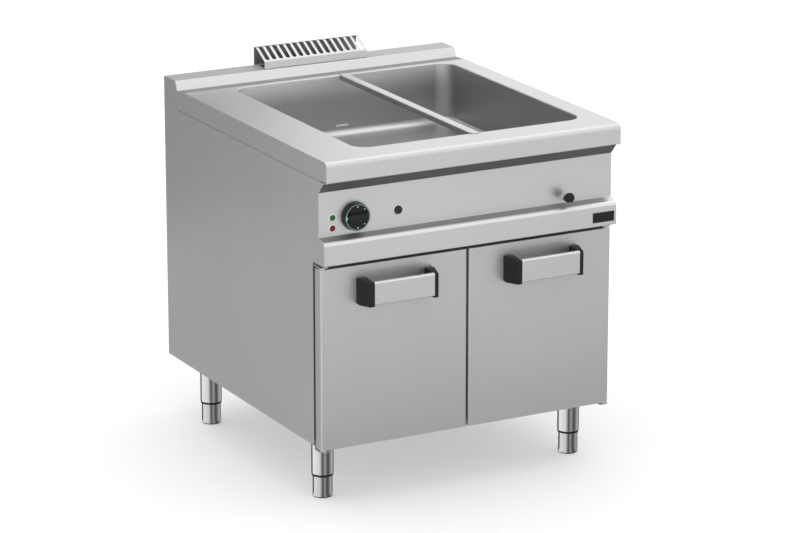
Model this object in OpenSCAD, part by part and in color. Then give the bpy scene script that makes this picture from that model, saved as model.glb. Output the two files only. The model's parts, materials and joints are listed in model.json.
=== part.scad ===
// Free-standing electric bain-marie: a heated water well let into a worktop,
// over a cupboard with two doors, on four adjustable legs.
// Lengths are in millimetres. Inside the modules x runs to the right from the
// middle, y runs back from the worktop's nose and z runs up from the floor.

/* [Overall] */
// Width over the side panels
body_w = 800; // [790:10:1000]
// Depth from the worktop's nose to the rear panel
body_d = 900; // [900:10:1000]
// Height of the worktop above the floor
worktop_h = 870; // [850:5:900]

/* [Sheet metal] */
// Thickness of the worktop
top_t = 2; // [1.5:0.5:3]
// Thickness of the cabinet panels
panel_t = 1.2; // [1:0.1:1.5]
// Thickness of the well's tank
tank_t = 1.5; // [1:0.1:2]
// Thickness of the front frame
frame_t = 1.5; // [1:0.1:2]
// Length of the small returned edges of the panels
return_w = 18; // [14:1:19]
// Inner radius of the sheets' sharp bends
bend_in = 0.6; // [0.4:0.1:1]

/* [Worktop] */
// Height of the apron round the worktop
apron_h = 51; // [40:1:60]
// Radius of the nose's top edge
nose_r = 12; // [4:1:16]
// Width of the return under the nose
nose_return = 30; // [24:1:34]
// Depth of the sloping strip behind the well
gutter_run = 43.4; // [30:0.2:46]
// Fall of the sloping strip
gutter_drop = 3.5; // [3:0.5:8]
// Height of the splashback above the worktop
upstand_h = 20; // [15:1:40]
// Lean of the splashback's front face
upstand_lean = 10; // [4:1:16]
// Depth of the splashback, from the gutter to the rear
upstand_d = 76.6; // [74:0.2:80]
// Height of the splashback's hanging rear and front flanges
upstand_flange = 20; // [14:1:24]

/* [Well] */
// Depth of the well below the worktop
well_depth = 158; // [150:1:160]
// Radius of the well's upright corners
well_r = 42; // [30:1:50]
// Radius between the well's walls and its floor
well_floor_r = 16; // [8:1:20]
// Worktop left over to the left of the well
well_left = 129; // [122:1:180]
// Worktop left over to the right of the well
well_right = 53; // [50:1:56]
// Worktop left over in front of the well
well_front = 89; // [88:1:90]
// Worktop left over between the well and the gutter
well_back = 11; // [8:0.5:30]
// Width of the tank's flange under the worktop
rim_w = 10; // [6:1:10]
// Length of the pressed water level mark
mark_l = 36; // [20:1:60]
// Height of the pressed water level mark
mark_h = 6; // [2:0.5:8]
// Distance of the level mark's lower edge below the worktop
mark_drop = 135; // [100:1:138]

/* [Support bar] */
// Width of the pan support bar
bar_w = 24; // [18:1:30]
// Depth of the bar's side flanges
bar_h = 12; // [6:1:12]
// Thickness of the bar's sheet
bar_t = 1.5; // [1:0.1:2]
// Length of each end that rests on the worktop
bar_rest = 7; // [4:0.5:10]
// Distance of the bar to the right of the well's centre line
bar_off = 5; // [0:1:10]

/* [Vent] */
// Width of the vent grille
flue_w = 294; // [240:2:340]
// Height of the grille's upright front
flue_front_h = 20; // [12:1:24]
// Height of the grille above the splashback
flue_h = 47; // [40:1:60]
// Distance of the grille's front behind the splashback's front face
flue_set = 4.6; // [3:0.2:8]
// Depth of the grille's slanted face
flue_slant = 49; // [40:1:50]
// Thickness of the grille's sheet
flue_t = 1.5; // [1:0.1:2]
// Number of slots in the grille
slot_n = 15; // [10:1:15]
// Width of one slot
slot_w = 10.5; // [6:0.5:12]
// Distance from slot to slot
slot_pitch = 19.2; // [15:0.2:19.2]
// Length of the grille's flange behind the splashback
flue_lap = 10; // [5:1:14]
// Thickness of the vent duct's wall
duct_t = 1; // [0.8:0.1:1.5]

/* [Control panel] */
// Distance of the panel's face behind the nose
face_y = 42.2; // [38:0.2:46]
// Distance of the strip under the nose behind the nose
strip_y = 18; // [14:1:22]
// Height of the upright edge under the nose
strip_edge = 4; // [4:1:10]
// Height of the slanted strip under the nose
strip_h = 27; // [20:1:30]
// Height of the panel's face
face_h = 108.7; // [104:0.1:112]
// Distance of the hand rail's front behind the nose
rail_y = 14.6; // [10:0.2:20]
// Height of the hand rail's front
rail_h = 56.2; // [50:0.1:60]
// Fall of the hand rail's top
rail_drop = 9; // [6:1:12]
// Radius of the hand rail's top edge
rail_r = 8; // [4:1:10]
// Width of the plate at the right of the hand rail
badge_w = 60; // [40:1:80]
// Height of the plate
badge_h = 25; // [15:1:30]
// Thickness of the plate
badge_t = 1.2; // [0.8:0.1:2]
// Distance of the plate from the right side
badge_right = 6.6; // [4:0.2:20]

/* [Control knob] */
// Diameter of the knob's skirt
knob_d = 71; // [56:1:72]
// Thickness of the knob's skirt
knob_t = 17; // [12:1:20]
// Height of the grip above the skirt
grip_h = 9; // [6:1:12]
// Width of the grip
grip_w = 22; // [16:1:26]
// Distance of the knob from the left side
knob_left = 95.5; // [90:0.5:110]
// Distance of the knob below the face's top edge
knob_drop = 66.5; // [60:0.5:70]
// Diameter of the thermostat's shaft
shaft_d = 6; // [5:0.5:8]

/* [Lamps and button] */
// Diameter of a pilot lamp
lamp_d = 14; // [8:0.5:15]
// Distance of the lamps from the left side
lamp_left = 36; // [30:0.5:40]
// Height between the two lamps
lamp_gap = 25.5; // [22:0.5:30]
// Distance of the upper lamp above the knob's centre
lamp_up = 2.5; // [0:0.5:6]
// Diameter of the reset button
button_d = 21; // [18:0.5:26]
// Width of the button's bright ring
button_rim = 3; // [1:0.5:4]
// Height of the button above the face
button_out = 5; // [4:0.5:8]
// Travel of the reset button
button_travel = 3; // [2:0.5:3]
// Distance from the knob to the button
button_off = 115; // [100:1:130]

/* [Water tap] */
// Distance of the tap from the right side
tap_right = 135.7; // [120:0.1:150]
// Distance of the tap below the face's top edge
tap_drop = 96.5; // [90:0.5:98]
// Length of the tap's grip
tap_grip_l = 36; // [28:1:40]
// Largest diameter of the grip
tap_grip_d = 24; // [18:1:26]
// Upward lean of the grip, in degrees
tap_lean = 17; // [10:1:20]
// Diameter of the tap's stem
tap_stem_d = 9; // [7:0.5:9]
// Outer diameter of the water pipes
pipe_d = 15; // [12:1:15]
// Diameter of the threaded water inlet
inlet_d = 20.8; // [16.5:0.1:21]

/* [Doors] */
// Distance of the doors' front face behind the nose
door_y = 37.9; // [36:0.1:39]
// Thickness of the doors
door_t = 29; // [27:0.5:30]
// Thickness of the doors' sheet
door_sheet = 1.2; // [1:0.1:1.5]
// Radius of the doors' upright front edges
door_r = 5; // [2:0.5:6]
// Gap between the two doors
door_gap = 5.2; // [3:0.2:8]
// Gap between a door and the cabinet's outer side
door_side = 2; // [1:0.2:4]
// Gap between the hand rail and the doors
door_top_gap = 13.7; // [13:0.1:20]
// Distance the doors hang below the side panels
door_drop = 4.5; // [3:0.5:6]
// Gap between the doors and the side panels' front edges
door_back_gap = 5.7; // [5.5:0.1:8]

/* [Handles] */
// Length of a handle's bar
handle_l = 161; // [120:1:180]
// Height of a handle's bar
handle_h = 57; // [45:1:65]
// Thickness of a handle's bar
handle_t = 8; // [6:0.5:12]
// Distance of the bar's front from the door
handle_out = 53; // [45:1:60]
// Height of the handle's middle below the door's top
handle_drop = 59.2; // [50:0.1:80]
// Radius of the bar's top front edge
handle_r = 6; // [3:0.5:6]
// Height of the handle's end caps at the door
cap_h = 66; // [60:1:76]
// Width of an end cap at the door
cap_w = 22.5; // [18:0.5:26]
// Width of an end cap at the front
cap_front_w = 10.5; // [8:0.5:14]
// Bevel on an end cap's front edge
cap_bevel = 5.3; // [2:0.1:7]

/* [Hinges] */
// Distance of the hinge axis from the door's edge and face
hinge_in = 9; // [8.5:0.1:10]
// Diameter of a hinge pin
hinge_pin_d = 8; // [6:0.5:8]
// Wall of a hinge bush
bush_wall = 2; // [1.5:0.1:2]
// Length of a hinge bush inside the door
bush_l = 16; // [12:1:20]
// Height of a hinge bush's collar
bush_collar = 2.4; // [2:0.1:2.6]
// Thickness of a hinge bracket
bracket_t = 3; // [2:0.5:3]

/* [Legs] */
// Height of the side panels' lower edge above the floor
leg_h = 155.6; // [140:0.2:180]
// Diameter of a leg's sleeve
leg_d = 55; // [52:1:58]
// Diameter of an adjustable foot
foot_d = 49; // [44:1:49]
// Height of the foot that shows below the sleeve
foot_h = 59.4; // [50:0.2:65]
// Distance of the legs from the sides
leg_side = 55.3; // [52:0.1:70]
// Distance of the front legs behind the nose
leg_front = 138.4; // [120:0.2:150]
// Distance of the rear legs from the rear
leg_rear = 134.2; // [125:0.2:150]

/* [Heating] */
// Diameter of the tubular heating elements
element_d = 8.5; // [6.5:0.5:8.5]
// Distance between two runs of an element
element_pitch = 40; // [30:1:42]
// Thickness of the insulation
insulation_t = 12; // [8:1:12]
// Height of the space under the tank for heating and insulation
heater_h = 42; // [38:1:44]

/* [Drain] */
// Distance of the drain from the well's left wall
drain_left = 71; // [60:1:80]
// Distance of the drain from the well's front wall
drain_front = 71; // [60:1:80]
// Outer diameter of the overflow pipe
overflow_d = 28; // [22:1:30]
// Distance of the overflow pipe's top below the worktop
overflow_drop = 60; // [40:1:80]
// Outer diameter of the drain pipe
drain_d = 28; // [22:1:30]
// Outer diameter of the drain's outlet
outlet_d = 33.2; // [31:0.1:34]
// Length of the drain valve's lever
lever_l = 95; // [70:1:110]

/* [Electrics] */
// Bore of the cable gland
gland_bore = 14; // [10:1:16]
// Diameter of the wiring loom
loom_d = 12; // [8:1:12]

/* [Hidden] */
$fn = 64;
// Colours of the finishes
steel = "lightgray";
dark_steel = "silver";
aluminium = "gainsboro";
black = "#1c1c1c";
// Gaps between pieces: moving pieces, turning shafts
play = 0.3;
run = 0.05;
// Slack round a piece that passes through a fixed hole
slack = 0.1;
// More than a cut needs, so that it leaves no skin
over = 1;

// Sides and levels of the cabinet
side_x = body_w / 2;
inner_x = side_x - panel_t;
apron_z = worktop_h - apron_h;
gutter_z = worktop_h - gutter_drop;
upstand_z = worktop_h + upstand_h;
gutter_end = body_d - upstand_d;
gutter_start = gutter_end - gutter_run;
strip_z = apron_z - strip_edge;
face_top = strip_z - strip_h;
face_bottom = face_top - face_h;
rail_top = face_bottom - rail_drop;
rail_bottom = rail_top - rail_h;
door_back = door_y + door_t;
post_y = door_back + door_back_gap;
frame_y = post_y + panel_t;
tray_z = leg_h + panel_t;
tray_top = tray_z + panel_t;
rear_in = body_d - panel_t;
rear_top = upstand_z - upstand_flange;
duct_x = flue_w / 2 - 8;

// The well
well_w = body_w - well_left - well_right;
well_l = gutter_start - well_back - well_front;
well_x = side_x - well_right - well_w / 2;
well_y = well_front + well_l / 2;
well_floor = worktop_h - well_depth;
tank_top = worktop_h - top_t;
tank_under = well_floor - tank_t;
seam_z = well_floor + well_floor_r + 1;
heater_tray_z = tank_under - heater_h;
ceiling_drop = 28;
ceiling_z = heater_tray_z - ceiling_drop;
bar_x = well_x + bar_off;

// The vent
flue_y = gutter_end + upstand_lean + flue_set;
flue_back = body_d + flue_t;
flue_foot = 14;
duct_y = flue_y + flue_foot + 1;
duct_back = rear_in - 5;
vent_inlet_h = 40;

// The controls
control_x = -side_x + knob_left;
control_z = face_top - knob_drop;
lamp_x = -side_x + lamp_left;
lamp_top_z = control_z + lamp_up;
lamp_body_l = 26;
button_x = control_x + button_off;
shaft_r = shaft_d / 2;
panel_back = face_y + panel_t;
control_w = 50;
control_depth = 26;
safety_w = 36;
safety_y = panel_back + button_travel + 1;
safety_depth = 22;
plunger_d = 8;

// The tap and the water pipes
tap_x = side_x - tap_right;
tap_z = face_top - tap_drop;
valve_d = 26;
valve_l = 26;
valve_y = panel_back + 2;
pipe_y = valve_y + valve_l / 2;
pipe_r = pipe_d / 2;
pipe_wall = 1.5;
pipe_bend = 14;
spout_drop = 24;
collar_w = 4;
collar_h = 3;
supply_x = inner_x - return_w - inlet_d / 2 - collar_w - 6;
supply_rear = 50;
inlet_nut_h = 8;
inlet_drop = 26;

// The hinges
hinge_x = side_x - door_side - hinge_in;
hinge_y = door_y + hinge_in;
pin_r = hinge_pin_d / 2;
bush_r = pin_r + run + bush_wall;
door_top = rail_bottom - door_top_gap;
door_bottom = leg_h - door_drop;
bracket_top_z = door_top + bush_collar + play;
bracket_low_z = door_bottom - bush_collar - play - bracket_t;
bracket_w = 24;
bracket_leg_t = 2;
bracket_foot_h = 16;

// The doors
door_w = side_x - door_side - door_gap / 2;
door_x = door_gap / 2 + door_w / 2;
handle_z = door_top - handle_drop;
handle_y = door_y - handle_out;
cap_z = handle_z - 3.2;
cap_slope = 6;

// The legs
leg_r = leg_d / 2;
foot_r = foot_d / 2;
leg_cap_t = 3;
leg_x = side_x - leg_side;
leg_back_y = body_d - leg_rear;
leg_spots = [[-leg_x, leg_front], [leg_x, leg_front], [-leg_x, leg_back_y], [leg_x, leg_back_y]];
foot_top = tray_z - leg_cap_t - play;
stud_r = 4;
nut_h = 6.5;
nut_r = 7.5;
stud_end = 3;

// The heating
element_r = element_d / 2;
element_z = tank_under - element_r;
element_runs = 4;
element_end = 45;
element_start = 8;
cold_end_l = 14;
cold_end_r = 2;
element_spots = [for (s = [-1, 1]) bar_x + s * well_w / 4];
clamp_t = 3;
clamp_w = 20;
clamp_z = element_z - element_r - clamp_t;
clamp_gap = 12;
clamp_step = 0.31 * well_l;
clamp_ys = [for (k = [-1, 0, 1]) well_y + k * clamp_step];
clamp_half = 1.5 * element_pitch + element_r + clamp_gap;
tray_lip = 24;
tray_edge = 6;
board_h = 20;

// The drain
drain_x = well_x - well_w / 2 + drain_left;
drain_y = well_front + drain_front;
overflow_r = overflow_d / 2;
overflow_top = worktop_h - overflow_drop;
drain_r = drain_d / 2;
drain_wall = 1.5;
drain_flange_r = 32;
drain_flange_t = 2;
drain_body_r = 22;
drain_nut_h = 10;
socket_l = 24;
socket_z = well_floor - socket_l;
ball_h = 70;
ball_r = 24;
ball_top = ceiling_z - 30;
ball_mid = ball_top - ball_h / 2;
drain_bend = 28;
drain_low_z = tray_top + drain_bend + 12;
outlet_y = body_d - 70;
outlet_l = 26;
lever_y = drain_y - ball_r - 14;
lever_w = 18;
lever_t = 3;
lever_hub_r = 10;
lever_grip_l = 60;
stem_r = 6;

// The electrics
box_x = -inner_x + 70;
box_y = rear_in - 50;
box_w = 84;
box_l = 64;
box_h = 80;
box_t = 2.5;
gland_r = 12.5;
gland_hex_r = 16.5;
gland_l = 28;
gland_nut_h = 5;
loom_x = lamp_x + lamp_d / 2 + 3 + loom_d / 2;
loom_bend = 20;

// The screws
screw_r = 2;
screw_head_r = 4.2;
screw_head_h = 1.5;
screw_l = 8;
rear_screw_n = 4;
rear_screw_x = inner_x - return_w / 2;
rear_screw_z0 = leg_h + 45;
rear_screw_step = (rear_top - 45 - rear_screw_z0) / (rear_screw_n - 1);
flue_screw_y = flue_y + flue_foot / 2 + 1;
flue_screw_xs = [for (k = [-1, 0, 1]) k * 0.38 * flue_w];

// From the nose to the middle of the whole footprint
rear_most = body_d + max(flue_t, screw_head_h);
mid_y = (rear_most + handle_y) / 2;

// Moves a piece so that the footprint's middle is the origin
module in_frame() {
    translate([0, -mid_y, 0]) children();
}

// The unit vector along v
function unit(v) = v / norm(v);

// The points that round the corner at b, between a and c, to radius r
function corner_points(a, b, c, r, n = 6) =
    r <= 0 ? [b] :
    let (u = unit(a - b), v = unit(c - b), half = acos(u * v) / 2,
         mid = b + unit(u + v) * r / sin(half),
         p = b + u * r / tan(half) - mid, q = b + v * r / tan(half) - mid,
         a0 = atan2(p[1], p[0]), turn = (atan2(q[1], q[0]) - a0 + 540) % 360 - 180)
    [for (i = [0:n]) mid + r * [cos(a0 + turn * i / n), sin(a0 + turn * i / n)]];

// An open line whose corners [x, y, r] are rounded
function rounded_line(pts) = [for (i = [0:len(pts) - 1])
    let (p = [pts[i][0], pts[i][1]], r = len(pts[i]) > 2 ? pts[i][2] : 0)
    each (i == 0 || i == len(pts) - 1) ? [p] :
        corner_points([pts[i - 1][0], pts[i - 1][1]], p, [pts[i + 1][0], pts[i + 1][1]], r)];

// A closed outline whose corners [x, y, r] are rounded
function rounded_loop(pts) = [for (i = [0:len(pts) - 1])
    let (n = len(pts), a = pts[(i + n - 1) % n], b = pts[i], c = pts[(i + 1) % n])
    each corner_points([a[0], a[1]], [b[0], b[1]], [c[0], c[1]], len(b) > 2 ? b[2] : 0)];

// The normal on the right of the way from a to b
function right_of(a, b) = let (u = unit(b - a)) [u[1], -u[0]];

// The line moved by t to its right, with mitred corners
function beside(pts, t) = [for (i = [0:len(pts) - 1])
    let (last = len(pts) - 1,
         n0 = right_of(pts[max(i - 1, 0)], pts[max(i, 1)]),
         n1 = right_of(pts[min(i, last - 1)], pts[min(i + 1, last)]))
    pts[i] + (n0 + n1) * t / (1 + n0 * n1)];

// The outline of a sheet of thickness t on the right of a line
function sheet_outline(pts, t) =
    let (inner = beside(pts, t), n = len(pts))
    concat(pts, [for (i = [n - 1:-1:0]) inner[i]]);

// A prism whose outline lies in the y-z plane and whose length w lies along x
module across(w) {
    rotate([90, 0, 90]) translate([0, 0, -w / 2]) linear_extrude(w) children();
}

// A sheet bent along a line in the y-z plane
module bent_sheet(line, t, w) {
    across(w) polygon(sheet_outline(line, t));
}

// A box given by its lowest and highest corners
module block(low, high) {
    translate(low) cube(high - low);
}

// A cylinder that runs back along y
module rod_y(r, l) {
    rotate([-90, 0, 0]) cylinder(r = r, h = l);
}

// A ring with an upright axis
module ring(outer, inner, h) {
    difference() {
        cylinder(r = outer, h = h);
        translate([0, 0, -over]) cylinder(r = inner, h = h + 2 * over);
    }
}

// A hexagonal prism with a round hole
module hex_ring(r, hole, h) {
    difference() {
        cylinder(r = r, h = h, $fn = 6);
        translate([0, 0, -over]) cylinder(r = hole, h = h + 2 * over);
    }
}

// A bar that follows a route of straight runs with square bends
module rod_run(route, r, bend) {
    last = len(route) - 1;
    for (i = [0:last - 1]) {
        way = unit(route[i + 1] - route[i]);
        start = route[i] + way * (i == 0 ? 0 : bend);
        stop = route[i + 1] - way * (i == last - 1 ? 0 : bend);
        translate(start) point_along(way) cylinder(r = r, h = norm(stop - start));
    }
    for (i = [1:1:last - 1]) {
        in = unit(route[i] - route[i - 1]);
        out = unit(route[i + 1] - route[i]);
        side = cross(-out, in);
        at = route[i] - bend * in + bend * out;
        multmatrix([[-out[0], in[0], side[0], at[0]],
                    [-out[1], in[1], side[1], at[1]],
                    [-out[2], in[2], side[2], at[2]], [0, 0, 0, 1]])
            rotate_extrude(angle = 90) translate([bend, 0]) circle(r);
    }
}

// Turns the z axis to one of the six directions of the frame
module point_along(way) {
    rotate(way[2] < -0.5 ? [180, 0, 0] : way[0] > 0.5 ? [0, 90, 0] : way[0] < -0.5 ? [0, -90, 0] :
        way[1] > 0.5 ? [-90, 0, 0] : way[1] < -0.5 ? [90, 0, 0] : [0, 0, 0]) children();
}

// A pipe along a route, open at both ends
module pipe_run(route, r, wall, bend) {
    last = len(route) - 1;
    first_way = unit(route[1] - route[0]);
    last_way = unit(route[last] - route[last - 1]);
    bore = [for (i = [0:last]) i == 0 ? route[0] - over * first_way :
        i == last ? route[last] + over * last_way : route[i]];
    difference() {
        rod_run(route, r, bend);
        rod_run(bore, r - wall, bend);
    }
}

// An upright prism with rounded corners, standing on z = 0
module rounded_block(w, l, h, r) {
    linear_extrude(h) {
        square([w - 2 * r, l], center = true);
        square([w, l - 2 * r], center = true);
        for (sx = [-1, 1], sy = [-1, 1])
            translate([sx * (w / 2 - r), sy * (l / 2 - r)]) circle(r);
    }
}

// Half the section of a tub, from its middle to its wall
function tub_side(half, h, rf) =
    let (wall = [for (i = [0:6]) [half - rf + rf * sin(i * 15), rf - rf * cos(i * 15)]])
    concat([[0, 0]], wall, [[half, h], [0, h]]);

// A solid with rounded upright corners and a rounded bottom edge
module tub(w, l, h, r, rf) {
    for (sx = [-1, 1], sy = [-1, 1])
        translate([sx * (w / 2 - r), sy * (l / 2 - r), 0]) rotate_extrude() polygon(tub_side(r, h, rf));
    for (s = [0, 1]) {
        span = s == 0 ? w : l;
        length = (s == 0 ? l : w) - 2 * r;
        rotate([90, 0, s * 90]) translate([0, 0, -length / 2]) linear_extrude(length)
            polygon(tub_section(span / 2, h, rf));
    }
}

// The whole section of a tub
function tub_section(half, h, rf) =
    let (side = tub_side(half, h, rf), n = len(side))
    concat([for (i = [1:n - 2]) side[i]], [for (i = [n - 2:-1:1]) [-side[i][0], side[i][1]]]);

// The outline of the front, from the hand rail's back edge up to the nose
rail_return = frame_y - rail_y;
front_line = rounded_line([[rail_y + rail_return, rail_bottom], [rail_y, rail_bottom, panel_t + bend_in],
    [rail_y, rail_top, rail_r], [face_y, face_bottom, bend_in], [face_y, face_top, bend_in],
    [strip_y, strip_z, panel_t + bend_in], [strip_y, apron_z]]);

// The outline of the worktop, from under the nose to the back of the gutter
top_line = rounded_line([[nose_return, apron_z], [0, apron_z, top_t + bend_in], [0, worktop_h, nose_r],
    [gutter_start, worktop_h, top_t + bend_in], [gutter_end, gutter_z, top_t + bend_in],
    [gutter_end, apron_z]]);

// The outline of the splashback, from its front flange to its rear flange
upstand_line = rounded_line([[gutter_end, gutter_z - upstand_flange], [gutter_end, gutter_z, panel_t + bend_in],
    [gutter_end + upstand_lean, upstand_z, panel_t + bend_in], [body_d, upstand_z, panel_t + bend_in],
    [body_d, rear_top]]);

// The well's outline as a prism between two heights
module well_prism(grow, z0, z1) {
    translate([well_x, well_y, z0])
        rounded_block(well_w + 2 * grow, well_l + 2 * grow, z1 - z0, well_r + grow);
}

module worktop() {
    color(steel) in_frame() difference() {
        union() {
            bent_sheet(top_line, top_t, body_w);
            for (s = [-1, 1])
                translate([s * (side_x - top_t / 2), 0, 0]) across(top_t)
                    polygon([for (i = [1:len(top_line) - 1]) top_line[i]]);
        }
        well_prism(0, tank_top - over, worktop_h + over);
    }
}

// The tank's upright walls, with the flange that is welded under the worktop
module well_walls() {
    color(steel) in_frame() {
        difference() {
            union() {
                well_prism(tank_t, seam_z, tank_top);
                well_prism(rim_w, tank_top - tank_t, tank_top);
            }
            well_prism(0, seam_z - over, tank_top + over);
            translate([tap_x, well_front - 2 * tank_t, tank_top - spout_drop])
                rod_y(pipe_r + slack, 3 * tank_t);
        }
        block([bar_x - bar_off - mark_l / 2, well_front + well_l - 1, worktop_h - mark_drop],
            [bar_x - bar_off + mark_l / 2, well_front + well_l + tank_t / 2, worktop_h - mark_drop + mark_h]);
    }
}

// The tank's pressed floor, whose rim is welded to the walls
module well_floor_pan() {
    depth = seam_z - well_floor;
    color(steel) in_frame() difference() {
        translate([well_x, well_y, tank_under])
            tub(well_w + 2 * tank_t, well_l + 2 * tank_t, depth + tank_t, well_r + tank_t, well_floor_r + tank_t);
        translate([well_x, well_y, well_floor])
            tub(well_w, well_l, depth + over, well_r, well_floor_r);
        translate([drain_x, drain_y, tank_under - over])
            cylinder(r = drain_body_r, h = tank_t + 2 * over);
    }
}

// The places of the studs that hold the heating
function stud_spots() = [for (x = element_spots, y = clamp_ys, s = [-1, 1])
    [x + s * (clamp_half - stud_r - 3), y]];

module support_bar() {
    inside = well_l - 4;
    rest_z = worktop_h + play;
    color(steel) in_frame() {
        block([bar_x - bar_w / 2, well_front - bar_rest, rest_z],
            [bar_x + bar_w / 2, well_front + well_l + bar_rest, rest_z + bar_t]);
        for (s = [-1, 1])
            translate([bar_x + s * (bar_w - bar_t) / 2, well_y, rest_z + (bar_t - bar_h) / 2])
                cube([bar_t, inside, bar_h + bar_t], center = true);
    }
}

module splashback() {
    color(steel) in_frame() difference() {
        bent_sheet(upstand_line, panel_t, 2 * inner_x);
        block([-duct_x, duct_y, upstand_z - 3 * panel_t], [duct_x, duct_back, upstand_z + over]);
        for (x = flue_screw_xs)
            translate([x, flue_screw_y, upstand_z - 2 * panel_t]) cylinder(r = screw_r, h = 4 * panel_t);
    }
}

module flue_grille() {
    line = rounded_line([[flue_y + flue_foot, upstand_z], [flue_y, upstand_z, flue_t + bend_in],
        [flue_y, upstand_z + flue_front_h, flue_t + bend_in],
        [flue_y + flue_slant, upstand_z + flue_h, flue_t + bend_in],
        [flue_back, upstand_z + flue_h, flue_t + bend_in], [flue_back, upstand_z - flue_lap]]);
    color(steel) in_frame() difference() {
        bent_sheet(line, flue_t, flue_w);
        for (k = [0:slot_n - 1])
            translate([(k - (slot_n - 1) / 2) * slot_pitch, 0, upstand_z + flue_front_h - 2])
                flue_slot(flue_y + 5, body_d - 4);
        for (x = flue_screw_xs)
            translate([x, flue_screw_y, upstand_z - over]) cylinder(r = screw_r, h = flue_t + 2 * over);
    }
}

// One slot with round ends, cut from above
module flue_slot(y0, y1) {
    r = slot_w / 2;
    linear_extrude(flue_h) {
        translate([-r, y0 + r]) square([slot_w, y1 - y0 - slot_w]);
        for (y = [y0 + r, y1 - r]) translate([0, y]) circle(r);
    }
}

module vent_duct() {
    top = upstand_z - panel_t;
    color(dark_steel) in_frame() difference() {
        block([-duct_x, duct_y, ceiling_z + panel_t], [duct_x, duct_back, top]);
        block([-duct_x + duct_t, duct_y + duct_t, ceiling_z], [duct_x - duct_t, duct_back - duct_t, top + over]);
        block([-duct_x + 20, duct_y - over, ceiling_z + 20],
            [duct_x - 20, duct_y + 2 * duct_t, ceiling_z + 20 + vent_inlet_h]);
    }
}

// A side panel with its returned front, rear and bottom edges; s is -1 left, 1 right
module side_panel(s) {
    outline = concat([[post_y, leg_h], [post_y, rail_bottom]],
        [for (i = [1:len(front_line) - 1]) front_line[i]],
        [[gutter_end, apron_z], [gutter_end, gutter_z], [gutter_end + upstand_lean, upstand_z],
         [body_d, upstand_z], [body_d, leg_h]]);
    reach = inner_x - return_w;
    color(steel) in_frame() mirror([s < 0 ? 1 : 0, 0, 0]) {
        translate([side_x - panel_t / 2, 0, 0]) across(panel_t) polygon(outline);
        block([reach, post_y, leg_h], [side_x, frame_y, rail_bottom]);
        block([reach, post_y, leg_h], [side_x, body_d - panel_t, tray_z]);
        difference() {
            block([reach, body_d - 2 * panel_t, leg_h], [side_x, rear_in, rear_top]);
            rear_screw_holes();
        }
    }
}

module left_side_panel() {
    side_panel(-1);
}

module right_side_panel() {
    side_panel(1);
}

// The shanks of the rear screws on one side
module rear_screw_holes() {
    for (k = [0:rear_screw_n - 1])
        translate([rear_screw_x, body_d - screw_l, rear_screw_z0 + k * rear_screw_step])
            rod_y(screw_r, screw_l + over);
}

module rear_panel() {
    louvre_n = 8;
    louvre_pitch = 14;
    louvre_h = 4;
    louvre_x = 0.375 * side_x;
    louvre_w = 0.2 * side_x;
    louvre_z = ceiling_z - 150;
    color(steel) in_frame() difference() {
        block([-inner_x, rear_in, leg_h], [inner_x, body_d, rear_top]);
        for (s = [0, 1]) mirror([s, 0, 0]) {
            rear_screw_holes();
            for (k = [0:louvre_n - 1])
                block([louvre_x, rear_in - over, louvre_z - k * louvre_pitch],
                    [louvre_x + louvre_w, body_d + over, louvre_z - k * louvre_pitch + louvre_h]);
        }
    }
}

module base_tray() {
    color(steel) in_frame() difference() {
        union() {
            block([-inner_x, frame_y, tray_z], [inner_x, body_d - 2 * panel_t, tray_top]);
            block([-inner_x + return_w + over, frame_y, tray_z],
                [inner_x - return_w - over, frame_y + panel_t, tray_z + return_w]);
        }
        for (p = leg_spots)
            translate([p[0], p[1], tray_z - over]) cylinder(r = stud_r, h = 3 * panel_t);
        translate([supply_x, body_d - supply_rear, tray_z - over])
            cylinder(r = inlet_d / 2 + slack, h = 3 * panel_t);
        translate([drain_x, outlet_y, tray_z - over]) cylinder(r = drain_r + slack, h = 3 * panel_t);
        translate([box_x, box_y, tray_z - over]) cylinder(r = gland_r + slack, h = 3 * panel_t);
    }
}

module cabinet_ceiling() {
    color(dark_steel) in_frame() difference() {
        union() {
            block([-inner_x, frame_y, ceiling_z], [inner_x, body_d - 2 * panel_t, ceiling_z + panel_t]);
            for (s = [-1, 1])
                translate([s * (inner_x - panel_t / 2), 0, 0])
                    block([-panel_t / 2, frame_y + 40, ceiling_z - return_w],
                        [panel_t / 2, body_d - 2 * panel_t, ceiling_z + panel_t]);
        }
        translate([drain_x, drain_y, ceiling_z - over]) cylinder(r = drain_r + 2, h = panel_t + 2 * over);
        translate([supply_x, body_d - supply_rear, ceiling_z - over])
            cylinder(r = pipe_r + 1, h = panel_t + 2 * over);
        translate([loom_x, box_y, ceiling_z - over]) cylinder(r = loom_d / 2 + 1, h = panel_t + 2 * over);
    }
}

module front_frame() {
    post_w = return_w;
    post_d = 25;
    rail_low = rail_bottom - 40;
    color(dark_steel) in_frame() {
        for (s = [0, 1]) mirror([s, 0, 0]) {
            block([inner_x - post_w, frame_y, tray_top], [inner_x, frame_y + frame_t, ceiling_z]);
            block([inner_x - post_w, frame_y, tray_top],
                [inner_x - post_w + frame_t, frame_y + post_d, ceiling_z]);
            block([inner_x - frame_t, frame_y, tray_top], [inner_x, frame_y + post_d, ceiling_z]);
        }
        block([-inner_x, frame_y, rail_low], [inner_x, frame_y + frame_t, ceiling_z]);
        block([-inner_x + post_w, frame_y, rail_low], [inner_x - post_w, frame_y + 20, rail_low + frame_t]);
    }
}

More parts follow.
